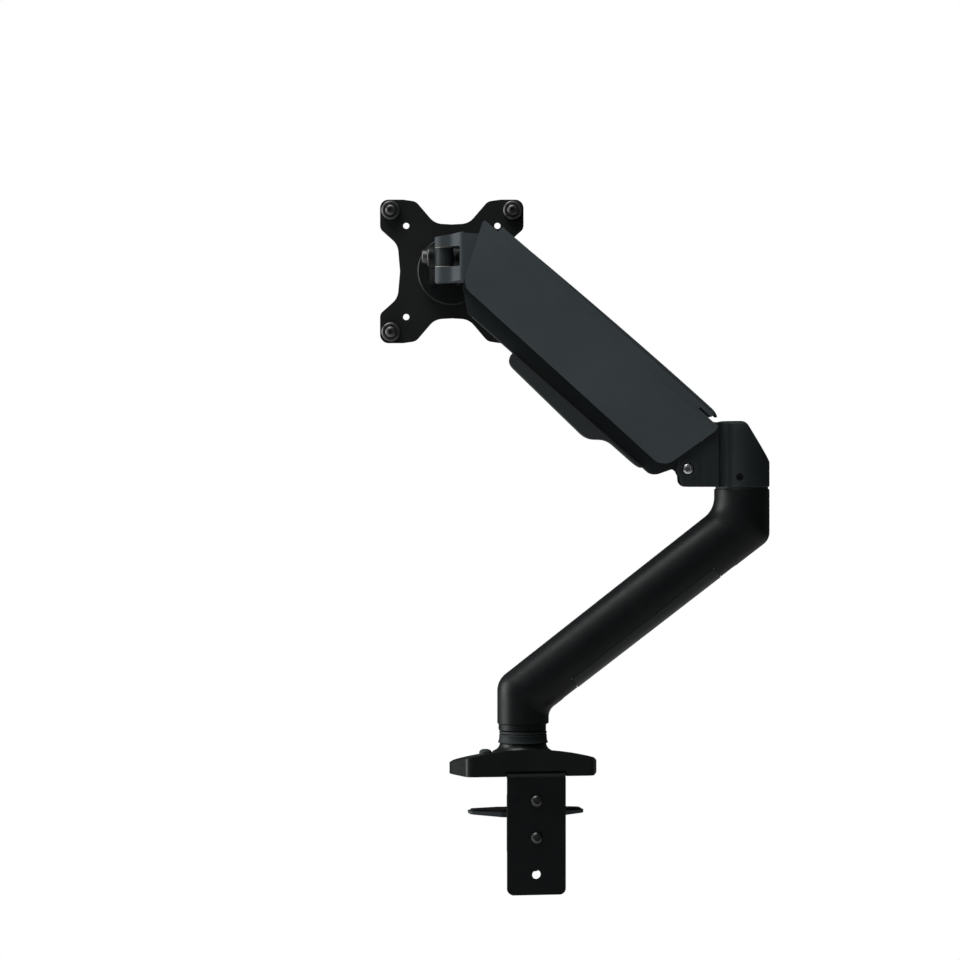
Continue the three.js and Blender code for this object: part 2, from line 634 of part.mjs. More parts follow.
/** Knuckle: an upright barrel with two cheeks that carry the upper arm's pivots. */
function elbowKnuckle() {
  const barrel = revolve([
    [0, KNUCKLE_BOTTOM], [ELBOW_RADIUS, KNUCKLE_BOTTOM], [ELBOW_RADIUS, KNUCKLE_TOP - 3],
    [ELBOW_RADIUS - 1.5, KNUCKLE_TOP - 1], [ELBOW_RADIUS - 6, KNUCKLE_TOP], [0, KNUCKLE_TOP],
  ], ELBOW_X);
  const slope = new THREE.Shape([
    new THREE.Vector2(177, 279.8), new THREE.Vector2(198, 246.5),
    new THREE.Vector2(220, 300), new THREE.Vector2(160, 306),
  ]);
  const chamfer = panel(slope, -40, 40);
  const outline = () => rounded([
    [125, KNUCKLE_BOTTOM, 6], [ELBOW_X, KNUCKLE_BOTTOM, 0], [ELBOW_X, KNUCKLE_TOP - 3, 0],
    [146, KNUCKLE_TOP - 0.5, 6], [122.5, 262, 8],
  ]);
  const cheeks = [-1, 1].map((side) => panel(
    outline(), Math.min(side * CHEEK_IN, side * CHEEK_OUT), Math.max(side * CHEEK_IN, side * CHEEK_OUT),
  ));
  const bore = rod('z', 13, KNUCKLE_BOTTOM - 5, PIN_TOP + 2, ELBOW_X);
  const pivots = [
    rod('y', 5.2, -40, 40, ...PIVOT_A1, MID),
    rod('y', 3.4, -40, 40, ...PIVOT_A2, MID),
    boltSinks(...PIVOT_A2),
  ];
  const pocket = block(
    140, BLOCK.x1 + GAP, -BLOCK.half - GAP, BLOCK.half + GAP, BLOCK.z0 - GAP, BLOCK.z1 + GAP,
  );
  const screwHole = rod('y', 3, -40, -8, ...SET_SCREW, SMALL);
  return cut(join(barrel, ...cheeks), chamfer, bore, ...pivots, pocket, screwHole);
}

place(arms, 'elbow_pin', elbowPin(), 'steel');
place(arms, 'elbow_washer', ring(10.3, 21, LOWER_ARM_TOP + GAP, KNUCKLE_BOTTOM - GAP, ELBOW_X), 'dark');
place(arms, 'elbow_bush', ring(10.3, 12.7, KNUCKLE_BOTTOM + GAP, PIN_TOP - 2, ELBOW_X), 'bush');
place(arms, 'elbow_knuckle', elbowKnuckle(), 'coat');
place(arms, 'elbow_set_screw', cut(
  rod('y', 2.6, -19.2, -13.2, ...SET_SCREW, SMALL), rod('y', 1.4, -25, -16.5, ...SET_SCREW, 6),
), 'black_steel');

/** Shouldered cross pin with a snap-ring groove near each end. */
function crossPin(radius, half, x, z) {
  const groove = (y) => crossRing(radius - 0.6, radius + 1, y - 0.5, y + 0.5, x, z, SMALL);
  return cut(rod('y', radius, -half, half, x, z, MID), groove(half - 1.4), groove(1.4 - half));
}

place(arms, 'main_pivot_pin', crossPin(4.8, 20.2, ...PIVOT_A1), 'steel');

/** Stub bolt through a cheek and a wall of the link; side is -1 for the near side. */
function linkBolt(side, x, z) {
  const head = revolve([
    [0, LINK_IN], [3, LINK_IN], [3, CHEEK_OUT - SINK], [4.5, CHEEK_OUT - SINK],
    [4.5, CHEEK_OUT - 0.4], [3.9, CHEEK_OUT + 0.2], [0, CHEEK_OUT + 0.3],
  ], 0, 0, MID);
  const key = rod('z', 1.9, CHEEK_OUT - 1.2, CHEEK_OUT + 9, 0, 0, 6);
  return cut(head, key).rotate([-90 * side, 0, 0]).translate([x, 0, z]);
}

place(arms, 'link_bolt_near', linkBolt(-1, ...PIVOT_A2), 'steel');
place(arms, 'link_bolt_far', linkBolt(1, ...PIVOT_A2), 'steel');

// hardened block set in the knuckle, which the gas spring's end pushes against
place(arms, 'tension_block', cut(
  block(BLOCK.x0, BLOCK.x1, -BLOCK.half, BLOCK.half, BLOCK.z0, BLOCK.z1),
  rod('y', 2, -20, 20, BLOCK.x0 + 2.9, BLOCK.z0 + 5, SMALL),
), 'black_steel');

// ---------------------------------------------------------------- upper arm

// In this group X runs along the arm from pivot A1 to pivot B1, Z is square to it and up,
// and Y points to the near side.
const LIFT = Math.atan2(PIVOT_B1[1] - PIVOT_A1[1], PIVOT_A1[0] - PIVOT_B1[0]);
const ARM_LENGTH = Math.hypot(PIVOT_B1[1] - PIVOT_A1[1], PIVOT_A1[0] - PIVOT_B1[0]);
const upper = new THREE.Group();
upper.position.set(PIVOT_A1[0], 0, PIVOT_A1[1]);
upper.quaternion.setFromRotationMatrix(new THREE.Matrix4().makeBasis(
  new THREE.Vector3(-Math.cos(LIFT), 0, Math.sin(LIFT)),
  new THREE.Vector3(0, -1, 0),
  new THREE.Vector3(Math.sin(LIFT), 0, Math.cos(LIFT)),
));
arms.add(upper);

const OFFSET_X = PIVOT_A2[0] - PIVOT_A1[0];
const OFFSET_Z = PIVOT_A2[1] - PIVOT_A1[1];
const LINK_X = -OFFSET_X * Math.cos(LIFT) + OFFSET_Z * Math.sin(LIFT);
const LINK_Z = OFFSET_X * Math.sin(LIFT) + OFFSET_Z * Math.cos(LIFT);

const GAS_END = 190;             // pinned end of the gas spring
const GAS_FRONT = 58;            // open end, where the rod comes out
const GAS_RADIUS = 8.5;
const GAS_Z = -12;
const ROD_RADIUS = 3.2;
const ANCHOR_X = -18.3;          // rod end, against the knuckle's tension block

/** Both walls of a channel: the same outline at |y| from inner to outer. */
function walls(outline, inner, outer) {
  return join(panel(outline, inner, outer), panel(outline, -outer, -inner));
}

/** Main channel, open below, with a pivot at each end. */
function armFrame() {
  const side = rounded([
    [-11, 11, 10.5], [-11, -11, 10.5], [28, -11, 4], [40, -13, 4], [172, -13, 4], [180, -20, 4],
    [198, -20, 4], [208, -11, 4], [ARM_LENGTH + 11, -11, 10.5], [ARM_LENGTH + 11, 11, 10.5],
    [210, 15, 6], [14, 15, 6],
  ]);
  const web = block(16, 208, -FRAME_OUT, FRAME_OUT, 12, 15);
  const pins = [
    rod('y', 5.2, -30, 30, 0, 0, MID),
    rod('y', 5.2, -30, 30, ARM_LENGTH, 0, MID),
    rod('y', 3.4, -30, 30, GAS_END, GAS_Z, SMALL),
  ];
  const bosses = [0, ARM_LENGTH].map((x) => join(
    rod('y', 9, FRAME_IN - 4, FRAME_OUT, x, 0, MID), rod('y', 9, -FRAME_OUT, 4 - FRAME_IN, x, 0, MID),
  ));
  const slot = block(60, 150, -7, 7, 5, 30);
  return cut(join(walls(side, FRAME_IN, FRAME_OUT), web, ...bosses), ...pins, slot);
}

const LINK_FLOOR = -48.2;        // underside of the link

/** Lower link: a channel, open above, that keeps the head upright. */
function lowerLink() {
  const far = LINK_X + ARM_LENGTH;
  const side = rounded([
    [LINK_X - 7, LINK_Z + 7, 6.5], [LINK_X - 7, LINK_Z - 7.2, 6.5], [-2, LINK_Z - 7.2, 3],
    [6.5, LINK_FLOOR, 9], [far - 12, LINK_FLOOR, 5], [far + 7, LINK_Z - 8, 6.5],
    [far + 7, LINK_Z + 7, 6.5],
    [far - 14, LINK_Z + 7, 4], [far - 24, LINK_Z - 2, 4], [LINK_X + 24, LINK_Z - 2, 4],
    [LINK_X + 14, LINK_Z + 7, 4],
  ]);
  const web = block(LINK_X + 26, far - 16, -LINK_OUT, LINK_OUT, LINK_FLOOR, LINK_FLOOR + 2.6);
  const pins = [
    rod('y', 3.3, -30, 30, LINK_X, LINK_Z, MID),
    rod('y', 3.9, -30, 30, far, LINK_Z, MID),
  ];
  return cut(join(walls(side, LINK_IN, LINK_OUT), web), ...pins);
}

const TOP_EDGE = 20.9;
const LOW_EDGE = -38.4;

/** Side outline of a cover, inset by a margin. */
function coverSide(inset) {
  return rounded([
    [-8.8 + inset, 20.4 - inset, 9], [245 - inset, TOP_EDGE - inset, 7],
    [220 - inset, -35 + inset, 12], [5 + inset, LOW_EDGE + inset, 13],
  ]);
}

const FORK_START = 15;           // the covers are open to the pivots before this
const FORK_END = ARM_LENGTH + 2; // and after this
const SEAM = 7.6;
const ROOF_START = 3;            // the covers' top starts here, over the knuckle
const ROOF_FLOOR = 17.5;         // and stays above this
const LIP = -1;                  // end of the spine's thin lip over the elbow

/** Side cover: a flat face, a bevel along the top and a lip turned in over the frame. */
function sideCover(side) {
  const span = (a, b) => [Math.min(side * a, side * b), Math.max(side * a, side * b)];
  // wedge above the bevelled edge, moved square to the bevel by the depth given
  const wedge = (depth) => {
    const y = COVER_OUT + 1 - 0.816 * depth;
    const z = TOP_EDGE + 2 - 0.578 * depth;
    const corners = [[y, z - 10.6], [y, z], [y - 7.5, z]].map((spot) => new THREE.Vector2(...spot));
    const body = crossPanel(new THREE.Shape(corners), -20, 280);
    return side > 0 ? body : body.mirror([0, 1, 0]);
  };
  const outer = panel(coverSide(0), ...span(SEAM, COVER_OUT));
  const hollow = cut(panel(coverSide(2.2), ...span(0, COVER_IN)), wedge(2.2));
  const below = block(-20, 260, ...span(0, COVER_IN), -60, 0);
  const ends = [
    block(-20, ROOF_START, ...span(0, COVER_IN), -60, 40),
    block(-20, FORK_START, ...span(0, COVER_IN), -60, ROOF_FLOOR),
    block(FORK_END, 260, ...span(0, COVER_IN), -60, 40),
  ];
  return cut(outer, hollow, below, ...ends, wedge(0));
}

/** Crowned strip that closes the seam between the two covers. */
function topSpine() {
  const shape = new THREE.Shape();
  shape.moveTo(ROOF_START, ROOF_FLOOR);
  shape.lineTo(ROOF_START, 20.8);
  shape.lineTo(LIP, 20.8);
  shape.quadraticCurveTo(LIP + 1, 23.4, LIP + 8, 24);
  shape.quadraticCurveTo(100, 25, FORK_END - 14, 21.6);
  shape.quadraticCurveTo(FORK_END - 4, 21.2, FORK_END - 4, 16);
  return panel(shape, -SEAM + GAP, SEAM - GAP, 8);
}

/** Clip-on trough under the link that holds the cables. */
function armCableCover() {
  const top = LINK_FLOOR - GAP;
  const shape = (inset) => {
    const floor = -60.8 + inset;
    const step = -50.6 + inset;
    const edge = new THREE.Shape();
    edge.moveTo(17 + inset, top + 5 * inset);
    edge.lineTo(155 - inset, top + 5 * inset);
    edge.lineTo(155 - inset, -51 + inset);
    edge.quadraticCurveTo(153 - inset, floor + 3.6, 146 - inset, floor + 3.5);
    edge.lineTo(72, floor);
    edge.bezierCurveTo(58, floor, 60, step, 46, step);
    edge.lineTo(26 + inset, step);
    edge.quadraticCurveTo(18 + inset, step + 0.4, 17 + inset, top + 5 * inset);
    return edge;
  };
  const outer = panel(shape(0), -15, 15, 8);
  const inner = panel(shape(1.8), -13.2, 13.2, 8);
  const mouths = [
    block(10, 24, -9, 9, -70, -46), block(150, 160, -9, 9, -58, -40),
  ];
  return cut(outer, inner, ...mouths);
}

// gas spring: the body is pinned in the frame, the rod pushes on the knuckle's anchor

function gasCylinder() {
  const tube = cut(
    rod('x', GAS_RADIUS, GAS_FRONT, 168, 0, GAS_Z, MID),
    rod('x', ROD_RADIUS + 0.3, GAS_FRONT - 5, 162, 0, GAS_Z, SMALL),
  );
  const eye = join(
    rod('x', 4.5, 167, 184, 0, GAS_Z, SMALL), rod('y', 7, -6, 6, GAS_END, GAS_Z, MID),
  );
  return cut(join(tube, eye), rod('y', 3.3, -20, 20, GAS_END, GAS_Z, SMALL));
}

/** Rod end: a ball-nosed eye that carries the anchor pin. */
function rodEnd() {
  const eye = join(
    rod('y', 5.4, -5.5, 5.5, ANCHOR_X, GAS_Z, MID),
    rod('x', 4.6, ANCHOR_X + 4, ANCHOR_X + 15, 0, GAS_Z, SMALL),
  );
  const thread = rod('x', 2.5, ANCHOR_X + 7, ANCHOR_X + 20, 0, GAS_Z, SMALL);
  return cut(eye, rod('y', 3.3, -10, 10, ANCHOR_X, GAS_Z, SMALL), thread);
}

function gasRod() {
  return join(
    rod('x', ROD_RADIUS, ANCHOR_X + 15.5, 136, 0, GAS_Z, SMALL),
    rod('x', 2.2, ANCHOR_X + 8, ANCHOR_X + 16, 0, GAS_Z, SMALL),
  );
}

place(upper, 'arm_frame', armFrame(), 'coat');
place(upper, 'near_side_cover', sideCover(1), 'shell');
place(upper, 'far_side_cover', sideCover(-1), 'shell');
place(upper, 'top_spine', topSpine(), 'shell');
place(upper, 'gas_cylinder', gasCylinder(), 'black_steel');
place(upper, 'gas_pin', crossPin(3, 15.8, GAS_END, GAS_Z), 'steel');
place(upper, 'gas_rod', gasRod(), 'steel');
place(upper, 'rod_end', rodEnd(), 'black_steel');
place(upper, 'anchor_pin', crossPin(3, 7.4, ANCHOR_X, GAS_Z), 'steel');
place(upper, 'lower_link', lowerLink(), 'coat');
place(upper, 'arm_cable_cover', armCableCover(), 'dark');
place(upper, 'head_pivot_pin', crossPin(4.8, 20.2, ARM_LENGTH, 0), 'steel');

// ---------------------------------------------------------------- head

const PIVOT_B2 = [PIVOT_B1[0] + OFFSET_X, PIVOT_B1[1] + OFFSET_Z];
const LUG_GAP = [404, 420.2];
const FORK_BACK = -47.2;         // the solid middle of the fork ends here, clear of the arm

/** Head fork: two lugs for the pan barrel, then two cheeks for the arm's upper pivots. */
function headFork() {
  const lugs = slab(rounded([
    [-70.5, -9, 7], [-57, -11, 6], [-50, -CHEEK_OUT, 4], [FORK_BACK, -CHEEK_OUT, 0],
    [FORK_BACK, CHEEK_OUT, 0], [-50, CHEEK_OUT, 4], [-57, 11, 6], [-70.5, 9, 7],
  ]), 380, 440).intersect(panel(rounded([
    [-71, 391.3, 2], [-40, 393.6, 0], [-40, 432.5, 0], [-71, 427.6, 2],
  ]), -40, 40));
  const outline = rounded([
    [FORK_BACK - 0.5, 393.2, 0], [-44.2, 393.4, 0], [-44.2, 385.6, 5.5], [-32, 385.6, 5.5],
    [-18, 408, 8], [-18, 428.5, 9], [-44, 430, 3], [FORK_BACK - 0.5, 430.5, 0],
  ]);
  const cheeks = walls(outline, CHEEK_IN, CHEEK_OUT);
  const window = block(-80, -50.4, -40, 40, ...LUG_GAP);
  const pin = rod('z', 4.5, 380, 450, PAN_X, 0, MID);
  const pivots = [
    rod('y', 5.2, -40, 40, ...PIVOT_B1, MID),
    rod('y', 3.4, -40, 40, ...PIVOT_B2, MID),
    boltSinks(...PIVOT_B2),
  ];
  return cut(join(lugs, cheeks), window, pin, ...pivots);
}

/** Tilt block: a pan barrel between the lugs, a neck and a cross boss for the tilt bolt. */
function tiltBlock() {
  const barrel = rod('z', 7.2, LUG_GAP[0] + 0.8, LUG_GAP[1] - 0.8, PAN_X, 0, MID);
  const neck = panel(rectangle(PAN_X - 6.4, PAN_X + 6.4, 405.4, 419.2, 2), 1, TILT_Y - 2);
  const boss = rod('x', 9, EAR_LEFT + EAR_THICK + 0.4, EAR_RIGHT - 0.4, TILT_Y, TILT_Z, MID);
  const pin = rod('z', 4.5, 380, 450, PAN_X, 0, MID);
  const bolt = rod('x', 4.3, -100, -20, TILT_Y, TILT_Z, MID);
  return cut(join(barrel, neck, boss), pin, bolt);
}

const EAR_THICK = 3.6;
const EAR_LEFT = -75.5;
const EAR_RIGHT = -53.7;
const EAR_RADIUS = 9.3;
const DISC_BACK = 65;
const DISC_THICK = 4;
const DISC_RADIUS = 28;

/** Tilt bracket: a round plate with two ears that straddle the tilt block. */
function tiltBracket() {
  const disc = rod('y', DISC_RADIUS, DISC_BACK - DISC_THICK, DISC_BACK, HUB_X, HUB_Z, SIDES);
  const side = new THREE.Shape();
  side.moveTo(DISC_BACK - 1, TILT_Z + 13);
  side.lineTo(TILT_Y + 14, TILT_Z + EAR_RADIUS);
  side.lineTo(TILT_Y, TILT_Z + EAR_RADIUS);
  side.absarc(TILT_Y, TILT_Z, EAR_RADIUS, Math.PI / 2, 1.5 * Math.PI, false);
  side.lineTo(TILT_Y + 10, TILT_Z - EAR_RADIUS);
  side.lineTo(DISC_BACK - 1, TILT_Z - 24);
  const ears = [EAR_LEFT, EAR_RIGHT].map((x) => crossPanel(side, x, x + EAR_THICK));
  const bolt = rod('x', 4.3, -100, -20, TILT_Y, TILT_Z, MID);
  const hub = rod('y', 5.4, 40, 90, HUB_X, HUB_Z, MID);
  const headRoom = rod('y', 9.2, 50, DISC_BACK - DISC_THICK, HUB_X, HUB_Z, MID);
  return cut(join(disc, ...ears), bolt, hub, headRoom);
}

/** Outline of the X-shaped plate about its centre, from one quarter mirrored twice. */
function plateOutline() {
  const quarter = [
    [0, 38.6, 0], [14, 39.4, 14], [29.5, 57.5, 8], [40, 59, 4], [59, 59, 7],
    [59, 35, 6], [44.5, 22, 14], [42.6, 0, 0],
  ];
  const right = quarter.concat(quarter.slice(0, -1).reverse().map(([x, y, r]) => [x, -y, r]));
  const left = right.slice(1, -1).reverse().map(([x, y, r]) => [-x, y, r]);
  return rounded(right.concat(left).map(([x, z, r]) => [x + HUB_X, z + HUB_Z, r]));
}

const PLATE_FRONT = PLATE_BACK - 3;
const CORNERS = [[-1, 1], [1, 1], [-1, -1], [1, -1]];

function vesaPlate() {
  const plate = panel(plateOutline(), PLATE_FRONT, PLATE_BACK);
  const holes = CORNERS.flatMap(([sx, sz]) => [VESA_PITCH, VESA_SMALL_PITCH].map((pitch) => rod(
    'y', 2.6, 60, 90, HUB_X + (sx * pitch) / 2, HUB_Z + (sz * pitch) / 2, 16,
  )));
  const boss = rod('y', 22, PLATE_FRONT - 2.6, PLATE_FRONT + 1, HUB_X, HUB_Z, SIDES);
  const hub = rod('y', 5.4, 40, 90, HUB_X, HUB_Z, MID);
  return cut(join(plate, boss), ...holes, hub);
}

/** Knurled thumb screw with a domed middle and a hexagon socket. */
function thumbScrew(x, z) {
  const reach = PLATE_BACK + 7;
  const profile = revolve([
    [0, -reach], [2.2, -reach], [2.2, -PLATE_FRONT + GAP], [7.85, -PLATE_FRONT + GAP],
    [7.85, -PLATE_FRONT + 5.6], [6.9, -PLATE_FRONT + 6.6], [5, -PLATE_FRONT + 6.6],
    [4.4, -PLATE_FRONT + 8], [2.6, -PLATE_FRONT + 9], [0, -PLATE_FRONT + 9.2],
  ], 0, 0, MID);
  const socket = rod('z', 2.2, -PLATE_FRONT + 6, -PLATE_FRONT + 20, 0, 0, 6);
  return cut(profile, socket).rotate([90, 0, 0]).translate([x, 0, z]);
}

place(arms, 'head_fork', headFork(), 'coat');
place(arms, 'head_link_bolt_near', linkBolt(-1, ...PIVOT_B2), 'black_steel');
place(arms, 'head_link_bolt_far', linkBolt(1, ...PIVOT_B2), 'black_steel');
place(arms, 'pan_pin', rod('z', 4.2, 392.8, 427.4, PAN_X, 0, MID), 'steel');
[[LUG_GAP[0] + 0.2, LUG_GAP[0] + 0.6], [LUG_GAP[1] - 0.6, LUG_GAP[1] - 0.2]].forEach(([z0, z1], i) => {
  place(arms, `pan_washer_${i + 1}`, ring(4.8, 7.4, z0, z1, PAN_X, MID), 'bush');
});
place(arms, 'tilt_block', tiltBlock(), 'coat');
place(arms, 'tilt_bolt', cut(join(
  rod('x', 5.5, EAR_LEFT - 6.2, EAR_LEFT - 1.8, TILT_Y, TILT_Z, MID),
  rod('x', 4, EAR_LEFT - 2.5, EAR_RIGHT + 9, TILT_Y, TILT_Z, MID),
), rod('x', 2.4, EAR_LEFT - 20, EAR_LEFT - 4, TILT_Y, TILT_Z, 6)), 'black_steel');
place(arms, 'tilt_washer', cut(
  rod('x', 7.6, EAR_LEFT - 1.5, EAR_LEFT - GAP, TILT_Y, TILT_Z, MID),
  rod('x', 4.3, -100, -20, TILT_Y, TILT_Z, MID),
), 'steel');
place(arms, 'tilt_nut', cut(
  rod('x', 7, EAR_RIGHT + EAR_THICK + GAP, EAR_RIGHT + EAR_THICK + 6, TILT_Y, TILT_Z, 6),
  rod('x', 4.3, -100, -20, TILT_Y, TILT_Z, MID),
), 'black_steel');
place(arms, 'tilt_bracket', tiltBracket(), 'coat');
place(
  arms, 'friction_washer',
  crossRing(5.5, 20, DISC_BACK + GAP, PLATE_FRONT - 2.9, HUB_X, HUB_Z, SIDES), 'bush',
);
place(arms, 'hub_bolt', join(
  rod('y', 5, DISC_BACK - DISC_THICK - 1, PLATE_FRONT + 2, HUB_X, HUB_Z, MID),
  rod('y', 8.5, DISC_BACK - DISC_THICK - 4, DISC_BACK - DISC_THICK - GAP, HUB_X, HUB_Z, MID),
), 'steel');
place(arms, 'vesa_plate', vesaPlate(), 'plate');
CORNERS.forEach(([sx, sz], i) => {
  const x = HUB_X + (sx * VESA_PITCH) / 2;
  const z = HUB_Z + (sz * VESA_PITCH) / 2;
  place(arms, `thumb_screw_${i + 1}`, thumbScrew(x, z), 'black_steel');
});

export default model;
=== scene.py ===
"""Looks for the desk-clamp monitor arm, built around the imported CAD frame."""

import json
import math

import bmesh
import bpy
from mathutils import Matrix, Vector


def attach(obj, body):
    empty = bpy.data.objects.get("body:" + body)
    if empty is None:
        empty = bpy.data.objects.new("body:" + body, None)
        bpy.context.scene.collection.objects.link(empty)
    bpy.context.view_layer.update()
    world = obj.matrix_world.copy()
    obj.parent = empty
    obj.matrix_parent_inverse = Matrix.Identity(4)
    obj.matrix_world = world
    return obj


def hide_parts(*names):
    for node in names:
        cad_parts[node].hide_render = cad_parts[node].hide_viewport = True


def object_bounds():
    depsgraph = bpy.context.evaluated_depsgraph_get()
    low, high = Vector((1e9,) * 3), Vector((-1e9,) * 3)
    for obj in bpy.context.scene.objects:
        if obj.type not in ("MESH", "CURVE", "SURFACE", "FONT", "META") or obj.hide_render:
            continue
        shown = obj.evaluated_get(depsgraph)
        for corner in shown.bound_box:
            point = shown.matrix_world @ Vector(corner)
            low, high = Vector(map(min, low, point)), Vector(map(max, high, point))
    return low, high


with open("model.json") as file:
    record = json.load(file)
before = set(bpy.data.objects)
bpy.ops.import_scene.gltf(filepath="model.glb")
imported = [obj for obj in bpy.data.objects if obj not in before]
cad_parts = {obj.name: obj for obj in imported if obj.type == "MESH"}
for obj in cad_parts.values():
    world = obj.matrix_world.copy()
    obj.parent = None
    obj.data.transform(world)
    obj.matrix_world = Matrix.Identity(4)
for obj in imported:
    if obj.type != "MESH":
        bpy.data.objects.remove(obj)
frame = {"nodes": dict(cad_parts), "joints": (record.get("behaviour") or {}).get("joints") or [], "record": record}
cad_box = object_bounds()

MM = 0.001
JOINTS = {joint["name"]: joint for joint in frame["joints"]}
SLOTS = {part["node"]: part["material_slot"] for part in frame["record"]["subparts"]}

# --- places taken from the frame

lift_axis = Vector(JOINTS["arm_lift"]["axis"])
YAW = -math.atan2(lift_axis.x, lift_axis.y)
ROW = Matrix.Identity(4)
ARMS = Matrix.Rotation(YAW, 4, "Z")


def in_arms(point):
    """Row-frame metres to millimetres in the plane of the arms: along, depth, up."""
    return (ARMS.inverted() @ Vector(point)) / MM


def joint_spot(name):
    return in_arms(JOINTS[name]["pos_m"])


A1 = joint_spot("arm_lift")
A2 = joint_spot("link_swing")
B1 = joint_spot("head_level")
ELBOW = joint_spot("elbow_swivel")
PAN = joint_spot("head_pan")
TILT = joint_spot("head_tilt")
HUB = joint_spot("vesa_rotate")
B2 = B1 + (A2 - A1)

# where those axes stand: the two coordinates square to each
ELBOW_AXIS = (ELBOW.x, 0)
PAN_AXIS = (PAN.x, 0)
LINK_AXIS = (A2.x, A2.z)
TILT_AXIS = (TILT.y, TILT.z)
HUB_AXIS = (HUB.x, HUB.z)

# the upper arm's own frame: X from A1 to B1, Y to the near side, Z square to the arm
along = (B1 - A1).normalized()
across = Vector((0, -1, 0))
square = along.cross(across)
UPPER = ARMS @ Matrix.Translation(A1) @ Matrix((along, across, square)).transposed().to_4x4()
ARM_LENGTH = (B1 - A1).length
LINK = UPPER.inverted() @ (ARMS @ A2)


def node_box(name, place=ARMS):
    """Lowest and highest corners, in millimetres, of a node in one of the frames above."""
    points = [place.inverted() @ (v.co / MM) for v in frame["nodes"][name].data.vertices]
    low = Vector([min(p[i] for p in points) for i in range(3)])
    high = Vector([max(p[i] for p in points) for i in range(3)])
    return low, high


# --- mesh helpers

ARC_STEP = math.radians(6)
STRAIGHT = 0.001
WIDE = 40.0  # cuts and outlines that go right through an arm run this far to each side


def turn_arc(before, corner, after, radius, parts=0, step=ARC_STEP):
    """The rounding of one corner, in a number of parts or by an angle step; a straight corner stays."""
    here = Vector(corner)
    back = (Vector(before) - here).normalized()
    ahead = (Vector(after) - here).normalized()
    inner = math.acos(max(-1, min(1, back.dot(ahead))))
    if radius == 0 or abs(math.pi - inner) < STRAIGHT:
        return [here]
    centre = here + (back + ahead).normalized() * radius / math.sin(inner / 2)
    start = here + back * radius / math.tan(inner / 2) - centre
    turn = -math.copysign(math.pi - inner, back.x * ahead.y - back.y * ahead.x)
    parts = parts or max(2, math.ceil(abs(turn) / step))
    return [centre + Matrix.Rotation(turn * k / parts, 2) @ start for k in range(parts + 1)]


def rounded(corners, step=ARC_STEP):
    """Polygon with rounded corners; each corner is (x, y) or (x, y, radius)."""
    points = []
    for i, corner in enumerate(corners):
        radius = corner[2] if len(corner) > 2 else 0
        after = corners[(i + 1) % len(corners)]
        points += turn_arc(corners[i - 1][:2], corner[:2], after[:2], radius, step=step)
    return points


def rectangle(x0, x1, y0, y1, radius=0):
    return rounded([(x0, y0, radius), (x1, y0, radius), (x1, y1, radius), (x0, y1, radius)])


def bezier(p0, p1, p2, p3, parts=12):
    """Points along a cubic curve, without the first one."""
    a, b, c, d = (Vector(p) for p in (p0, p1, p2, p3))
    points = []
    for k in range(1, parts + 1):
        t = k / parts
        s = 1 - t
        points.append(a * s ** 3 + b * 3 * s * s * t + c * 3 * s * t * t + d * t ** 3)
    return points


def mesh_object(name, bm, place):
    """Finishes a bmesh drawn in millimetres in a frame, as an object in metres in the row frame."""
    bmesh.ops.remove_doubles(bm, verts=bm.verts, dist=1e-5)
    bmesh.ops.transform(bm, matrix=Matrix.Scale(MM, 4) @ place, verts=bm.verts)
    bmesh.ops.recalc_face_normals(bm, faces=bm.faces)
    mesh = bpy.data.meshes.new(name)
    bm.to_mesh(mesh)
    bm.free()
    piece = bpy.data.objects.new(name, mesh)
    bpy.context.scene.collection.objects.link(piece)
    return piece


def loft(rings, closed=False):
    """Bmesh skin over rings of equal length; the ends are capped unless it closes on itself."""
    bm = bmesh.new()
    rows = [[bm.verts.new(p) for p in ring] for ring in rings]
    pairs = list(zip(rows, rows[1:]))
    if closed:
        pairs.append((rows[-1], rows[0]))
    for low, high in pairs:
        size = len(low)
        for i in range(size):
            j = (i + 1) % size
            bm.faces.new((low[i], low[j], high[j], high[i]))
    if not closed:
        bm.faces.new(rows[0])
        bm.faces.new(rows[-1])
    return bm


def prism(outline, low, high, axis="y"):
    """Extruded outline: an XZ outline along Y, an XY outline along Z, or a YZ outline along X."""
    order = {"y": lambda p, d: (p[0], d, p[1]), "z": lambda p, d: (p[0], p[1], d),
             "x": lambda p, d: (d, p[0], p[1])}[axis]
    return loft([[order(p, d) for p in outline] for d in (low, high)])


def lathe(profile, axis="z", at=(0, 0), segments=72):
    """Turned shape about an axis; profile is [(radius, distance)], at is the axis's place."""
    order = {"z": lambda a, b, d: (a + at[0], b + at[1], d), "y": lambda a, b, d: (a + at[0], d, b + at[1]),
             "x": lambda a, b, d: (d, a + at[0], b + at[1])}[axis]
    bm = bmesh.new()
    rows = []
    for radius, distance in profile:
        if radius < 1e-6:
            rows.append([bm.verts.new(order(0, 0, distance))])
            continue
        turns = [2 * math.pi * i / segments for i in range(segments)]
        spots = [order(radius * math.cos(t), radius * math.sin(t), distance) for t in turns]
        rows.append([bm.verts.new(spot) for spot in spots])
    closed = profile[0][0] > 1e-6
    pairs = list(zip(rows, rows[1:]))
    if closed:
        pairs.append((rows[-1], rows[0]))
    for low, high in pairs:
        for i in range(segments):
            j = (i + 1) % segments
            if len(low) == 1:
                bm.faces.new((low[0], high[j], high[i]))
            elif len(high) == 1:
                bm.faces.new((low[i], low[j], high[0]))
            else:
                bm.faces.new((low[i], low[j], high[j], high[i]))
    return bm


def cylinder(radius, low, high, axis="z", at=(0, 0), segments=48):
    return lathe([(0, low), (radius, low), (radius, high), (0, high)], axis, at, segments)


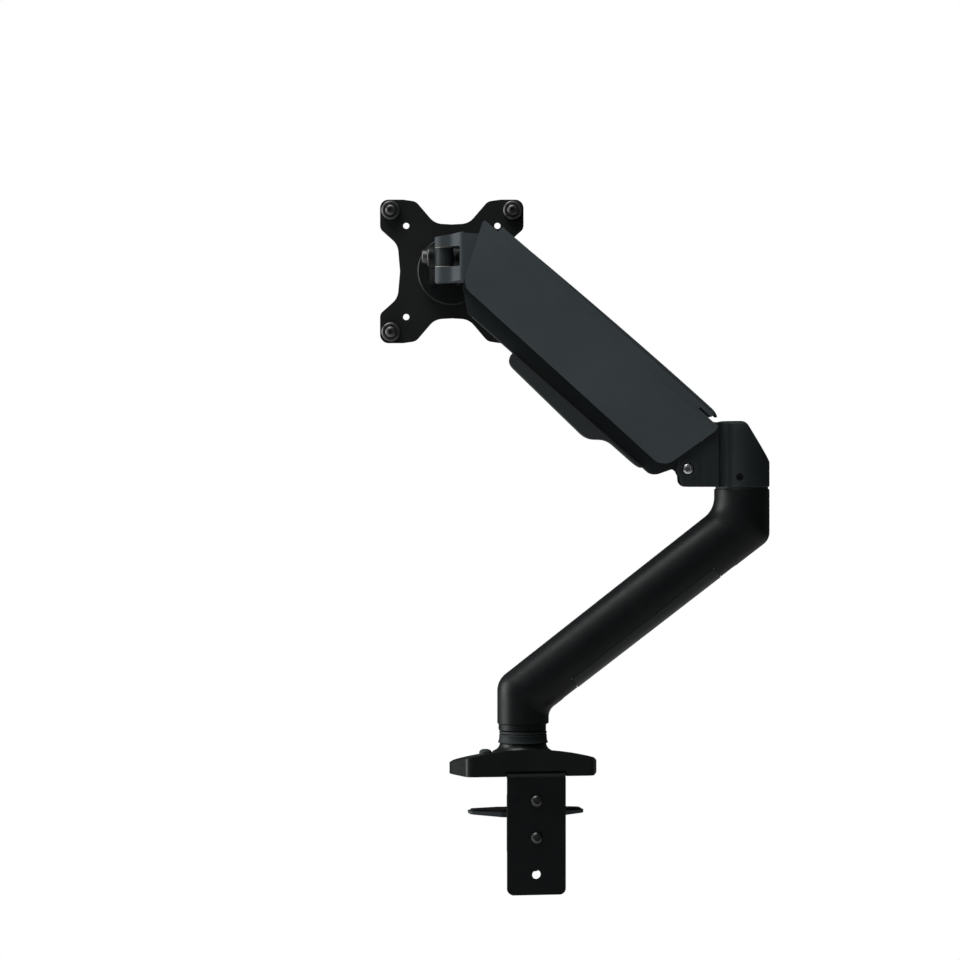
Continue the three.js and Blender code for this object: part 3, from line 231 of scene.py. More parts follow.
def pin(radius, low, high, axis, at):
    """Cylinder with both ends chamfered."""
    chamfer = 0.5
    neck = radius - chamfer
    return lathe([(0, low), (neck, low), (radius, low + chamfer), (radius, high - chamfer),
                  (neck, high), (0, high)], axis, at, 48)


def hexagon(at, radius):
    """Outline of a hexagon socket."""
    turns = [math.pi * k / 3 for k in range(6)]
    return [(at[0] + radius * math.cos(t), at[1] + radius * math.sin(t)) for t in turns]


def baked(piece):
    """Applies a piece's modifiers."""
    graph = bpy.context.evaluated_depsgraph_get()
    mesh = bpy.data.meshes.new_from_object(piece.evaluated_get(graph))
    piece.modifiers.clear()
    piece.data = mesh
    return piece


def carve(piece, tool, operation):
    """Joins, cuts or intersects a piece with a tool object, which is used up."""
    step = piece.modifiers.new("step", "BOOLEAN")
    step.operation = operation
    step.solver = "EXACT"
    step.object = tool
    baked(piece)
    bpy.data.objects.remove(tool, do_unlink=True)


def boolean(piece, tools, place, operation):
    """Joins or cuts bmesh tools, drawn in the same frame, one after another."""
    for bm in tools:
        carve(piece, mesh_object("tool", bm, place), operation)
    return piece


def smooth(piece, angle=35):
    for face in piece.data.polygons:
        face.use_smooth = True
    piece.data.set_sharp_from_angle(angle=math.radians(angle))


def soften(piece, width, segments=3, angle=32):
    """Rounds the edges by a bevel and keeps the flats flat."""
    bevel = piece.modifiers.new("edges", "BEVEL")
    bevel.width = width * MM
    bevel.segments = segments
    bevel.limit_method = "ANGLE"
    bevel.angle_limit = math.radians(angle)
    bevel.use_clamp_overlap = True
    bevel.harden_normals = False
    baked(piece)
    smooth(piece, 50)
    weights = piece.modifiers.new("normals", "WEIGHTED_NORMAL")
    weights.keep_sharp = True
    baked(piece)


def finished(piece, body, finish, edge, nodes, segments=3):
    """Rounds the edges, then gives the piece its material, its body and the CAD nodes it stands for."""
    if edge:
        soften(piece, edge, segments)
    else:
        smooth(piece)
    piece.data.materials.clear()
    piece.data.materials.append(MATERIALS[finish])
    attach(piece, body)
    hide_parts(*nodes)
    return piece


def make(name, place, body, finish, parts, cuts, edge, nodes, segments=3):
    """One finished piece, from parts that are joined and cuts that are taken away."""
    piece = mesh_object(name, parts[0], place)
    boolean(piece, parts[1:], place, "UNION")
    boolean(piece, cuts, place, "DIFFERENCE")
    return finished(piece, body, finish, edge, nodes, segments)


# --- materials


class Finish:
    """A node material under construction, in object coordinates measured in metres."""

    def __init__(self, name, metallic, specular=0.5):
        self.material = bpy.data.materials.new(name)
        self.material.use_nodes = True
        self.tree = self.material.node_tree
        self.shader = self.tree.nodes["Principled BSDF"]
        self.shader.inputs["Metallic"].default_value = metallic
        self.shader.inputs["Specular IOR Level"].default_value = specular
        self.place = self.tree.nodes.new("ShaderNodeTexCoord").outputs["Object"]

    def link(self, source, target):
        self.tree.links.new(source, target)

    def node(self, kind, **values):
        """A new node with its sockets set; a space in a socket's name is written as an underscore."""
        node = self.tree.nodes.new("ShaderNode" + kind)
        for socket, value in values.items():
            node.inputs[socket.replace("_", " ")].default_value = value
        return node

    def stretch(self, scale):
        mapping = self.node("Mapping", Scale=scale)
        self.link(self.place, mapping.inputs["Vector"])
        return mapping.outputs["Vector"]

    def noise(self, size_mm, detail=3, vector=None):
        node = self.node("TexNoise", Scale=1 / (size_mm * MM), Detail=detail, Roughness=0.55)
        self.link(vector or self.place, node.inputs["Vector"])
        return node.outputs["Fac"]

    def cells(self, size_mm):
        node = self.node("TexVoronoi", Scale=1 / (size_mm * MM))
        self.link(self.place, node.inputs["Vector"])
        return node.outputs["Distance"]

    def spread(self, source, low, high, start=0.3, stop=0.7):
        """Maps a signal on to a range."""
        node = self.node("MapRange", From_Min=start, From_Max=stop, To_Min=low, To_Max=high)
        self.link(source, node.inputs["Value"])
        return node.outputs["Result"]

    def mix(self, factor, first, second):
        node = self.node("Mix")
        node.data_type = "RGBA"
        for socket, value in (("A", first), ("B", second)):
            target = [s for s in node.inputs if s.name == socket and s.type == "RGBA"][0]
            if isinstance(value, tuple):
                target.default_value = (*value, 1)
            else:
                self.link(value, target)
        self.link(factor, node.inputs["Factor"])
        return [s for s in node.outputs if s.type == "RGBA"][0]

    def edges(self, radius_mm=0.7):
        """1 on worn outer edges, 0 on flats, from the mesh's own curvature."""
        geometry = self.node("NewGeometry")
        bevel = self.node("Bevel", Radius=radius_mm * MM)
        bevel.samples = 4
        dot = self.node("VectorMath")
        dot.operation = "DOT_PRODUCT"
        self.link(geometry.outputs["Normal"], dot.inputs[0])
        self.link(bevel.outputs["Normal"], dot.inputs[1])
        return self.spread(dot.outputs["Value"], 1, 0, 0.9, 0.995)

    def bump(self, layers):
        """Stacks bumps; each layer is (signal, depth in millimetres)."""
        normal = None
        for signal, depth in layers:
            node = self.node("Bump", Strength=1, Distance=depth * MM)
            self.link(signal, node.inputs["Height"])
            if normal:
                self.link(normal, node.inputs["Normal"])
            normal = node.outputs["Normal"]
        self.link(normal, self.shader.inputs["Normal"])

    def set(self, socket, signal):
        self.link(signal, self.shader.inputs[socket])


def powder_coat(name, low, high, worn, rough, specular, grain_mm=0.9, depth=0.035):
    """Satin powder coat: orange-peel bump, cloudy tone and slightly polished edges."""
    finish = Finish(name, 0.0, specular)
    cloud = finish.noise(38, 4)
    grain = finish.noise(grain_mm, 2)
    fine = finish.noise(grain_mm * 0.35, 2)
    tone = finish.mix(finish.spread(cloud, 0, 1), low, high)
    speck = finish.mix(finish.spread(fine, 0, 0.5, 0.45, 0.75), tone, high)
    finish.set("Base Color", finish.mix(finish.edges(), speck, worn))
    finish.set("Roughness", finish.spread(finish.noise(14, 5), rough - 0.05, rough + 0.06))
    finish.bump([(finish.noise(6, 2), depth * 0.6), (grain, depth), (fine, depth * 0.4)])
    return finish.material


def moulded(name, low, high, worn, rough, specular, grain_mm=0.55, depth=0.03):
    """Spark-eroded plastic: fine pebble bump, slight sheen changes and rubbed edges."""
    finish = Finish(name, 0.0, specular)
    cloud = finish.noise(55, 3)
    pebble = finish.cells(grain_mm)
    fine = finish.noise(grain_mm * 0.5, 2)
    tone = finish.mix(finish.spread(cloud, 0, 1), low, high)
    finish.set("Base Color", finish.mix(finish.edges(0.5), tone, worn))
    finish.set("Roughness", finish.spread(finish.noise(22, 4), rough - 0.04, rough + 0.05))
    finish.bump([(pebble, depth), (fine, depth * 0.6)])
    return finish.material


def turned_steel(name, low, high, rough, stretch, depth=0.004):
    """Machined metal: fine tool lines and smudges."""
    finish = Finish(name, 1.0)
    lines = finish.noise(1.0, 3, finish.stretch(stretch))
    smudge = finish.noise(5, 4)
    tone = finish.mix(finish.spread(smudge, 0, 1), low, high)
    finish.set("Base Color", tone)
    finish.set("Roughness", finish.spread(smudge, rough - 0.06, rough + 0.08))
    finish.bump([(lines, depth)])
    return finish.material


def soft_rubber(name, low, high, rough, cell_mm, depth):
    """Foam rubber or acetal: open cells or a faint flow pattern."""
    finish = Finish(name, 0.0, 0.4)
    cell = finish.cells(cell_mm)
    finish.set("Base Color", finish.mix(finish.spread(cell, 0, 1, 0, 0.8), low, high))
    finish.set("Roughness", finish.spread(finish.noise(4, 3), rough - 0.05, rough + 0.05))
    finish.bump([(cell, depth), (finish.noise(cell_mm * 0.4, 2), depth * 0.5)])
    return finish.material


FINISHES = {
    "coat": (powder_coat, (0.0045, 0.0052, 0.0056), (0.0075, 0.0085, 0.009),
             (0.02, 0.022, 0.023), 0.40, 0.2),
    # The knuckle coat is the same powder coat as coat, painted lighter: painted light for how brightly the
    # knuckle, link, collar and tilt block are lit.
    "knuckle_coat": (powder_coat, (0.022, 0.027, 0.0275), (0.029, 0.035, 0.036),
                     (0.05, 0.055, 0.057), 0.5, 0.12),
    # The head coat is the same powder coat as coat, painted lighter still: painted light for how brightly the fork
    # and the clamp jaw are lit.
    "head_coat": (powder_coat, (0.050, 0.060, 0.066), (0.062, 0.073, 0.080),
                  (0.09, 0.10, 0.105), 0.55, 0.12),
    "shell": (moulded, (0.055, 0.067, 0.073), (0.066, 0.079, 0.085), (0.10, 0.115, 0.12), 0.48, 0.3),
    "base_shell": (moulded, (0.005, 0.0062, 0.0065), (0.008, 0.0094, 0.0098),
                   (0.02, 0.022, 0.022), 0.36, 0.28),
    "dark": (moulded, (0.032, 0.037, 0.039), (0.04, 0.045, 0.047), (0.05, 0.054, 0.055), 0.5, 0.15),
    "plate": (powder_coat, (0.013, 0.0137, 0.0137), (0.018, 0.019, 0.019),
              (0.07, 0.07, 0.07), 0.55, 0.12),
    "steel": (turned_steel, (0.48, 0.49, 0.5), (0.68, 0.69, 0.7), 0.26, (1, 1, 14)),
    "pin_steel": (turned_steel, (0.12, 0.12, 0.12), (0.16, 0.16, 0.16), 0.4, (1, 1, 14)),
    "black_steel": (turned_steel, (0.05, 0.05, 0.052), (0.09, 0.09, 0.094), 0.34, (1, 1, 8)),
    "dull_steel": (turned_steel, (0.06, 0.06, 0.062), (0.09, 0.09, 0.093), 0.36, (1, 1, 10)),
    "satin_steel": (turned_steel, (0.09, 0.09, 0.09), (0.14, 0.14, 0.14), 0.42, (1, 1, 10)),
    "bush": (soft_rubber, (0.5, 0.48, 0.42), (0.62, 0.6, 0.54), 0.45, 3.0, 0.01),
    "foam": (soft_rubber, (0.006, 0.006, 0.006), (0.014, 0.014, 0.014), 0.85, 0.9, 0.12),
}
MATERIALS = {name: recipe(name, *values) for name, (recipe, *values) in FINISHES.items()}

# --- floor, light and camera


FLOOR_DROP = 0.45
FLOOR_REACH = 2.2
SENSOR_MM = 36
LENS_MM = 117.2
EYE = (-0.0344, -2.5, 0.234)


def studio_floor():
    """Pale floor, with a faint speckle, well below the lowest point."""
    level = cad_box[0][2] - FLOOR_DROP
    bm = bmesh.new()
    reach = FLOOR_REACH
    corners = [(-reach, -reach), (reach, -reach), (reach, reach), (-reach, reach)]
    bm.faces.new([bm.verts.new((x, y, level)) for x, y in corners])
    mesh = bpy.data.meshes.new("floor")
    bm.to_mesh(mesh)
    bm.free()
    floor = bpy.data.objects.new("floor", mesh)
    bpy.context.scene.collection.objects.link(floor)
    finish = Finish("floor_paper", 0.0, 0.2)
    finish.set("Base Color", finish.mix(finish.noise(300, 3), (0.93, 0.93, 0.93), (0.97, 0.97, 0.97)))
    finish.shader.inputs["Roughness"].default_value = 0.85
    mesh.materials.append(finish.material)


def softbox(name, place, target, size, watts):
    light = bpy.data.lights.new(name, "AREA")
    light.shape = "RECTANGLE"
    light.size, light.size_y = size
    light.energy = watts
    lamp = bpy.data.objects.new(name, light)
    lamp.location = ARMS @ Vector(place)
    lamp.rotation_euler = (ARMS @ Vector(target) - lamp.location).to_track_quat("-Z", "Y").to_euler()
    bpy.context.scene.collection.objects.link(lamp)


def studio():
    """White backdrop, dim room and soft boxes above, at the left and in front."""
    world = bpy.data.worlds.new("studio")
    world.use_nodes = True
    tree = world.node_tree
    backdrop = tree.nodes["Background"]
    backdrop.inputs["Color"].default_value = (1, 1, 1, 1)
    room = tree.nodes.new("ShaderNodeBackground")
    room.inputs["Color"].default_value = (0.9, 0.97, 1, 1)
    room.inputs["Strength"].default_value = 0.055
    seen = tree.nodes.new("ShaderNodeLightPath")
    blend = tree.nodes.new("ShaderNodeMixShader")
    tree.links.new(seen.outputs["Is Camera Ray"], blend.inputs["Fac"])
    tree.links.new(room.outputs["Background"], blend.inputs[1])
    tree.links.new(backdrop.outputs["Background"], blend.inputs[2])
    tree.links.new(blend.outputs["Shader"], tree.nodes["World Output"].inputs["Surface"])
    bpy.context.scene.world = world
    middle = (0.03, 0, 0.2)
    softbox("top", (-0.7, -0.5, 2.1), middle, (1.6, 1.2), 36)
    softbox("left", (-2.3, 0.1, 0.5), middle, (1.4, 1.8), 46)
    softbox("front", (-0.9, -2.7, 1.5), middle, (1.6, 1.0), 2)
    view = bpy.context.scene.view_settings
    view.view_transform = "Standard"
    view.look = "None"
    view.exposure = 0
    view.gamma = 1


def camera():
    """Level camera, square to the plane of the arms."""
    lens = bpy.data.cameras.new("camera")
    lens.sensor_width = SENSOR_MM
    lens.lens = LENS_MM
    eye = bpy.data.objects.new("camera", lens)
    eye.location = ARMS @ Vector(EYE)
    eye.rotation_euler = (math.pi / 2, 0, YAW)
    bpy.context.scene.collection.objects.link(eye)
    bpy.context.scene.camera = eye


studio_floor()
studio()
camera()

# --- finishes of the CAD nodes


def dress_cad():
    """Gives every CAD node its slot's material, and shades its curved faces smoothly."""
    for name, slot in SLOTS.items():
        node = frame["nodes"][name]
        node.data.materials.clear()
        node.data.materials.append(MATERIALS[slot])
        smooth(node)
        rim = node.modifiers.new("rim", "BEVEL")
        rim.width = 0.25 * MM
        rim.segments = 2
        rim.limit_method = "ANGLE"
        rim.angle_limit = math.radians(40)


dress_cad()

# --- lower arm


def oval(left, right, half_width, power, segments=72):
    """Superellipse across the arm, from a point on its upper outline to one on its lower."""
    middle = (left + right) / 2
    half = (left - right) / 2
    ring = []
    for i in range(segments):
        turn = 2 * math.pi * i / segments
        aside = math.copysign(abs(math.sin(turn)) ** (2 / power), math.sin(turn))
        up = math.copysign(abs(math.cos(turn)) ** (2 / power), math.cos(turn))
        spot = middle + half * up
        ring.append((spot.x, half_width * aside, spot.y))
    return ring


arm_low, arm_high = node_box("lower_arm")
FOOT_RADIUS = -arm_low.x
HEAD_RADIUS = arm_high.x - ELBOW.x
ARM_BOTTOM = arm_low.z
ARM_TOP = arm_high.z
LOW_BEND = 63.0
HIGH_BEND = 199.7
BEAM_WIDTH = 21.0
SLOPE = math.atan2(HIGH_BEND - LOW_BEND, ELBOW.x)
BEAM = ARMS @ Matrix.Translation((0, 0, LOW_BEND)) @ Matrix.Rotation(-SLOPE, 4, "Y")
RIM = 6.0
BEND_PARTS = 14
ELBOW_BORE = 10.3
# above and below the beam: offsets from its axis and radii, each at the foot and at the head
BEAM_EDGES = ((21.2, 22.1, 17, 20), (-22.8, -24.1, 11, 12))


def beam_line(low_offset, high_offset):
    """Where a line beside the beam's axis meets the foot's side and the head's side of the same hand."""
    side = math.copysign(1, low_offset)
    foot = -side * FOOT_RADIUS
    head = ELBOW.x - side * HEAD_RADIUS
    rise = math.tan(SLOPE)
    low = (foot, LOW_BEND + low_offset / math.cos(SLOPE) + foot * rise)
    high = (head, LOW_BEND + high_offset / math.cos(SLOPE) + head * rise)
    return low, high


def arm_rings(shrink=0):
    """Rings up the foot, round the lower bend, along the beam, round the upper bend and up the head."""
    sides = []
    for low_offset, high_offset, low_radius, high_radius in BEAM_EDGES:
        low, high = beam_line(low_offset, high_offset)
        first = (low[0], ARM_BOTTOM + RIM)
        last = (high[0], ARM_TOP - 1)
        low_arc = turn_arc(first, low, high, low_radius, BEND_PARTS)
        high_arc = turn_arc(low, high, last, high_radius, BEND_PARTS)
        low_arc[0].y = max(low_arc[0].y, first[1] + 0.4)
        span = [low_arc[-1].lerp(high_arc[0], k / 8) for k in range(1, 8)]
        sides.append([Vector(first)] + low_arc + span + high_arc + [Vector(last)])
    count = len(sides[0])
    rings = []
    for i, (left, right) in enumerate(zip(*sides)):
        reach = i / (count - 1)
        bulge = math.sin(math.pi * min(1, max(0, reach))) ** 0.5
        width = FOOT_RADIUS + (HEAD_RADIUS - FOOT_RADIUS) * reach
        width += (BEAM_WIDTH - (FOOT_RADIUS + HEAD_RADIUS) / 2) * bulge * 0.6
        pull = (left - right).normalized() * shrink
        rings.append(oval(left - pull, right + pull, width - shrink, 2 + 0.18 * bulge))
    return rings


def round_ring(radius, z, x=0.0, segments=72):
    return oval(Vector((x - radius, z)), Vector((x + radius, z)), radius, 2, segments)


def beam_box(x0, x1, half, z0, z1):
    return prism(rectangle(x0, x1, -half, half, min(half * 0.9, 4)), z0, z1, "z")


def lower_arm():
    foot = [round_ring(FOOT_RADIUS - inset, ARM_BOTTOM + rise)
            for inset, rise in ((1.6, 0), (1, 0.6), (1, RIM - 1), (0, RIM - 0.2))]
    head = [round_ring(HEAD_RADIUS - 0.25, ARM_TOP - 0.3, ELBOW.x),
            round_ring(HEAD_RADIUS - 0.9, ARM_TOP, ELBOW.x)]
    cover_low, cover_high = node_box("lower_cable_cover", BEAM)
    seam = 0.3
    floor = cover_high.z + seam
    piece = mesh_object("lower_arm_casting", loft(foot + arm_rings() + head), ARMS)
    cutter = prism(rectangle(cover_low.x - seam, cover_high.x + seam, -WIDE, WIDE), -WIDE, floor, "z")
    trough = beam_box(cover_low.x + 0.5, cover_high.x - 0.5, 13, -WIDE, 1)
    slots = beam_box(cover_low.x - 16, cover_high.x + 16, 6, -WIDE, 1)
    boolean(piece, [cutter, trough, slots], BEAM, "DIFFERENCE")
    post = cylinder(node_box("post_bush")[1].x + 0.3, ARM_BOTTOM - 5, node_box("swivel_post")[1].z + 1)
    bore = cylinder(ELBOW_BORE, 200, ARM_TOP + 5, "z", ELBOW_AXIS)
    exit_slot = prism(rectangle(12, 30, -7, 7), ARM_BOTTOM - 4, ARM_BOTTOM + 6, "z")
    boolean(piece, [post, bore, exit_slot], ARMS, "DIFFERENCE")
    finished(piece, "lower", "coat", 0.35, ["lower_arm"])

    cover = mesh_object("lower_arm_cable_cover", loft(arm_rings()), ARMS)
    hollow = mesh_object("hollow", loft(arm_rings(2)), ARMS)
    keep = prism(rectangle(cover_low.x, cover_high.x, -WIDE, WIDE), -WIDE, cover_high.z, "z")
    boolean(cover, [keep], BEAM, "INTERSECT")
    carve(cover, hollow, "DIFFERENCE")
    finished(cover, "lower", "base_shell", 0.25, ["lower_cable_cover"])


lower_arm()

# --- base and desk clamp

cover_low, cover_high = node_box("base_cover", ROW)
bracket_low, bracket_high = node_box("back_bracket", ROW)
jaw_low, jaw_high = node_box("clamp_jaw", ROW)
screw_low, screw_high = node_box("clamp_screw", ROW)
grip_low, grip_high = node_box("clamp_knob", ROW)
pad_low, pad_high = node_box("jaw_pad", ROW)
shelf_low, shelf_high = node_box("clamp_bracket", ROW)
COVER_TOP = 21.5
COVER_WALL = 2.4
FRONT = -cover_low.y
CORNER_X = 50.5
WAIST_X = 60.5
CROWN_RADIUS = 198.0
CROWN_SLOPE = math.radians(-5.4)
STEM_RADIUS = 18.6
STEM_TOP = cover_high.z
POST_ROOM = 13.8
CLAMP_X = (bracket_low.x + bracket_high.x) / 2
CLAMP_Y = (screw_low.y + screw_high.y) / 2
CLAMP_AXIS = (CLAMP_X, CLAMP_Y)
SHEET = 3.2
HOLES = [-18.8, -47.8, -76.8]
LEG_BACK = bracket_high.y
SHELF_TOP = -36.4
THREAD_TOP = -42


def base_plan(inset):
    x, waist, y = CORNER_X - inset, WAIST_X - inset, FRONT - inset
    corner = max(1, 6 - inset)
    return rounded([(-x, -y, corner), (x, -y, corner), (waist, 0, 40), (x, y, corner), (-x, y, corner),
                    (-waist, 0, 40)], math.radians(3))


def crown(top, bottom):
    """Block whose top is an arc across the base and slopes down towards the back."""
    half = WAIST_X + 5
    spread = math.asin(half / CROWN_RADIUS)
    arc = [(CROWN_RADIUS * math.sin(t), CROWN_RADIUS * math.cos(t) - CROWN_RADIUS)
           for t in [spread * (1 - 2 * k / 48) for k in range(49)]]
    outline = [(-half, bottom - top), (half, bottom - top), *arc]
    bm = prism(outline, FRONT - 60, FRONT + 60)
    hinge = Matrix.Translation((0, -FRONT, top)) @ Matrix.Rotation(CROWN_SLOPE, 4, "X")
    bmesh.ops.transform(bm, matrix=hinge, verts=bm.verts)
    return bm


def waist_profile():
    """The stem's flare into the crown, drawn as a hollow curve."""
    foot = Vector((STEM_RADIUS + 6, COVER_TOP - 4.4))
    curve = bezier(foot, (STEM_RADIUS + 2.6, COVER_TOP - 3), (STEM_RADIUS + 0.9, COVER_TOP - 1.6),
                   (STEM_RADIUS, STEM_TOP - 0.6), 12)
    return [(0, 10), (foot.x, 10), (foot.x, foot.y)] + [(p.x, p.y) for p in curve] + [
        (STEM_RADIUS, STEM_TOP - 0.3), (STEM_RADIUS - 0.3, STEM_TOP), (0, STEM_TOP)]


def base_cover():
    low, high = node_box("cover_knob", ROW)
    spot = ((low.x + high.x) / 2, (low.y + high.y) / 2)
    seat = COVER_TOP - 5.3
    piece = mesh_object("base_cover_shell", prism(base_plan(0), -6, 40, "z"), ROW)
    boolean(piece, [crown(COVER_TOP, -20)], ROW, "INTERSECT")
    soften(piece, 1.5, 5, 40)
    boolean(piece, [prism(rectangle(-80, 80, -60, 60), -40, cover_low.z, "z")], ROW, "DIFFERENCE")
    boolean(piece, [lathe(waist_profile()), cylinder(6.8, 10, seat, "z", spot)], ROW, "UNION")
    hollow = mesh_object("hollow", prism(base_plan(COVER_WALL), -1, 40, "z"), ROW)
    boolean(hollow, [crown(COVER_TOP - COVER_WALL, -10)], ROW, "INTERSECT")
    carve(piece, hollow, "DIFFERENCE")
    notch = prism(rectangle(bracket_low.x - 1, bracket_high.x + 1, -FRONT - 5, -FRONT + COVER_WALL + 1),
                  -5, 4.4, "z")
    boolean(piece, [cylinder(POST_ROOM, 0, 40, "z", (0, 0), 72), notch, cylinder(2.3, 0, 40, "z", spot),
                    cylinder(5.4, seat, 40, "z", spot)], ROW, "DIFFERENCE")
    finished(piece, "base", "base_shell", 0.2, ["base_cover"])
    top = high.z
    head = lathe([(0, low.z), (1.9, low.z), (1.9, seat + 0.3), (4.8, seat + 0.3), (5, seat + 0.5),
                  (5, top - 2.4), (4.6, top - 1.5), (3.6, top - 0.6), (2, top - 0.1), (0, top)],
                 "z", spot, 48)
    slot = prism(rectangle(spot[0] - 5, spot[0] + 5, spot[1] - 0.5, spot[1] + 0.5), top - 1, top + 2, "z")
    make("base_cover_cap", ROW, "base", "dark", [head], [slot], 0.1, ["cover_knob"])


def neck_parts():
    low, high = node_box("neck_collar")
    radius = high.x
    side = [(radius - 0.6, low.z), (radius - 0.1, low.z + 0.3), (radius, low.z + 0.7)]
    side += [(p.x, p.y) for p in bezier((radius, low.z + 0.7), (radius - 0.9, low.z + 2.4),
                                        (radius - 1.1, high.z - 2), (radius - 0.9, high.z - 0.5), 10)]
    profile = [(POST_ROOM, low.z), *side, (radius - 1.4, high.z), (POST_ROOM, high.z)]
    make("neck_collar_ring", ARMS, "base", "knuckle_coat", [lathe(profile, segments=96)], (), 0,
         ["neck_collar"])
    low, high = node_box("friction_ring")
    make("neck_friction_ring", ARMS, "base", "dark",
         [lathe([(POST_ROOM, low.z), (high.x - 0.3, low.z), (high.x, low.z + 0.3), (high.x, high.z - 0.3),
                 (high.x - 0.3, high.z), (POST_ROOM, high.z)], segments=96)], (), 0, ["friction_ring"])


def bracket_side():
    """Outline of the bent strip, in depth and height."""
    bend = SHEET + 2.4
    centre = (bracket_low.y + bend, SHEET - bend)

    def arc(radius, start, stop):
        turns = [math.radians(start + (stop - start) * k / 10) for k in range(11)]
        return [(centre[0] + radius * math.cos(t), centre[1] + radius * math.sin(t)) for t in turns]

    inner = bracket_low.y + SHEET
    return [(LEG_BACK, 0), (LEG_BACK, SHEET), *arc(bend, 90, 180), (bracket_low.y, bracket_low.z),
            (inner, bracket_low.z), *arc(bend - SHEET, 180, 90)]


def back_bracket():
    strip = prism(bracket_side(), bracket_low.x, bracket_high.x, "x")
    piece = mesh_object("back_bracket_strip", strip, ROW)
    front = rounded([(bracket_low.x, bracket_low.z, 5), (bracket_high.x, bracket_low.z, 5),
                     (bracket_high.x, 20), (bracket_low.x, 20)])
    boolean(piece, [prism(front, -60, 20)], ROW, "INTERSECT")
    holes = [cylinder(3.6, -60, bracket_low.y + SHEET + 5, "y", (CLAMP_X, z)) for z in HOLES]
    spots = [(CLAMP_X + side * 14, -21) for side in (-1, 1)]
    sinks = [cylinder(6, -5, 1.9, "z", spot) for spot in spots]
    bores = [cylinder(3.3, -5, 10, "z", spot) for spot in spots]
    boolean(piece, [*holes, *sinks, *bores], ROW, "DIFFERENCE")
    finished(piece, "base", "coat", 0.6, ["back_bracket"])


def bracket_screws():
    for number, z in ((1, HOLES[0]), (2, HOLES[1])):
        node = f"bracket_screw_{number}"
        low, high = node_box(node, ROW)
        seat = bracket_low.y - 0.3
        at = (CLAMP_X, z)
        head = lathe([(0, low.y), (1.8, low.y + 0.05), (3.3, low.y + 0.6), (4.3, low.y + 1.4),
                      (4.75, low.y + 2.2), (4.75, seat), (2.9, seat), (2.9, high.y - 0.5),
                      (2.4, high.y), (0, high.y)], "y", at, 48)
        socket = prism(hexagon(at, 2.4), low.y - 2, low.y + 1.7)
        make(f"{node}_button", ROW, "base", "dull_steel", [head], [socket], 0.15, [node])


def clamp_bracket():
    y0 = shelf_low.y
    back = y0 + 3.4
    half = (shelf_high.x - shelf_low.x) / 2
    shelf_half = 14.0
    leg = prism(rectangle(CLAMP_X - half, CLAMP_X + half, shelf_low.z, shelf_high.z, 4), y0, back)
    left, right, front = CLAMP_X - shelf_half, CLAMP_X + shelf_half, shelf_high.y
    shelf = prism(rounded([(left, y0), (right, y0), (right, front, 8), (left, front, 8)]),
                  SHELF_TOP - 3.4, SHELF_TOP, "z")
    web = [(back - 0.5, SHELF_TOP - 1), (back - 0.5, -58), (back + 3, -58), (20, SHELF_TOP - 1)]
    ribs = [prism(web, middle - 1.3, middle + 1.3, "x")
            for middle in (left + 1.3, right - 1.3)]
    holes = [cylinder(3.3, -60, back + 5, "y", (CLAMP_X, z)) for z in HOLES[:2]]
    bore = cylinder(8, -60, -20, "z", CLAMP_AXIS)
    make("clamp_bracket_casting", ROW, "base", "coat", [leg, shelf, *ribs], [*holes, bore], 0.35,
         ["clamp_bracket"])


def jaw_plan(half, middle, wing, depth, corner):
    points = []
    for sx, sy, order in ((-1, -1, 0), (1, -1, 1), (1, 1, 0), (-1, 1, 1)):
        pair = [(CLAMP_X + sx * half, CLAMP_Y + sy * wing, corner),
                (CLAMP_X + sx * middle, CLAMP_Y + sy * depth, corner + 1)]
        points += pair[::-1] if order else pair
    return rounded(points)


def clamp_jaw():
    half = (jaw_high.x - jaw_low.x) / 2
    top = jaw_high.z
    side = rounded([(CLAMP_X - half, top), (CLAMP_X - half, top - 2.4, 1), (CLAMP_X - 20, top - 4.4),
                    (CLAMP_X + 20, top - 4.4), (CLAMP_X + half, top - 2.4, 1), (CLAMP_X + half, top)])
    piece = mesh_object("clamp_jaw_plate", prism(jaw_plan(half, 22, 7, 15, 5), top - 10, top + 5, "z"), ROW)
    boolean(piece, [prism(side, -60, 60)], ROW, "INTERSECT")
    boolean(piece, [cylinder(6.3, top - 2.6, top + 1, "z", CLAMP_AXIS),
                    cylinder(5.3, top - 20, top, "z", CLAMP_AXIS)], ROW, "DIFFERENCE")
    finished(piece, "jaw", "head_coat", 0.4, ["clamp_jaw"])
    pad_half = (pad_high.x - pad_low.x) / 2
    make("clamp_jaw_pad", ROW, "jaw", "foam",
         [prism(jaw_plan(pad_half, 21, 5.4, 13.4, 4), pad_low.z, pad_high.z, "z")], (), 0.3, ["jaw_pad"])


def clamp_spindle():
    """Spindle with a helical thread, a plain neck below and a flange at the top."""
    low, high = screw_low.z, screw_high.z
    neck = grip_high.z + 0.4
    pitch = 1.75
    segments = 24
    outer, inner = 5.0, 4.25
    profile = [(0, low), (3.4, low), (3.4, neck), (inner, neck + 0.6),
               (inner, high - 2), (6, high - 2), (6, high), (0, high)]
    body = mesh_object("clamp_spindle", lathe(profile, "z", CLAMP_AXIS, 48), ROW)
    rings = []
    start, stop = neck + 1.8, THREAD_TOP
    turns = int((stop - start) / pitch * segments)
    for k in range(turns + 1):
        angle = 2 * math.pi * k / segments
        fade = min(1, k / segments, (turns - k) / segments)
        z = start + pitch * k / segments
        crest = inner + (outer - inner) * fade
        ring = [(inner - 0.6, z - 0.72), (crest, z - 0.16), (crest, z + 0.16), (inner - 0.6, z + 0.72)]
        rings.append([(CLAMP_X + r * math.cos(angle), CLAMP_Y + r * math.sin(angle), h) for r, h in ring])
    boolean(body, [loft(rings)], ROW, "UNION")
    finished(body, "screw", "black_steel", 0, ["clamp_screw"])


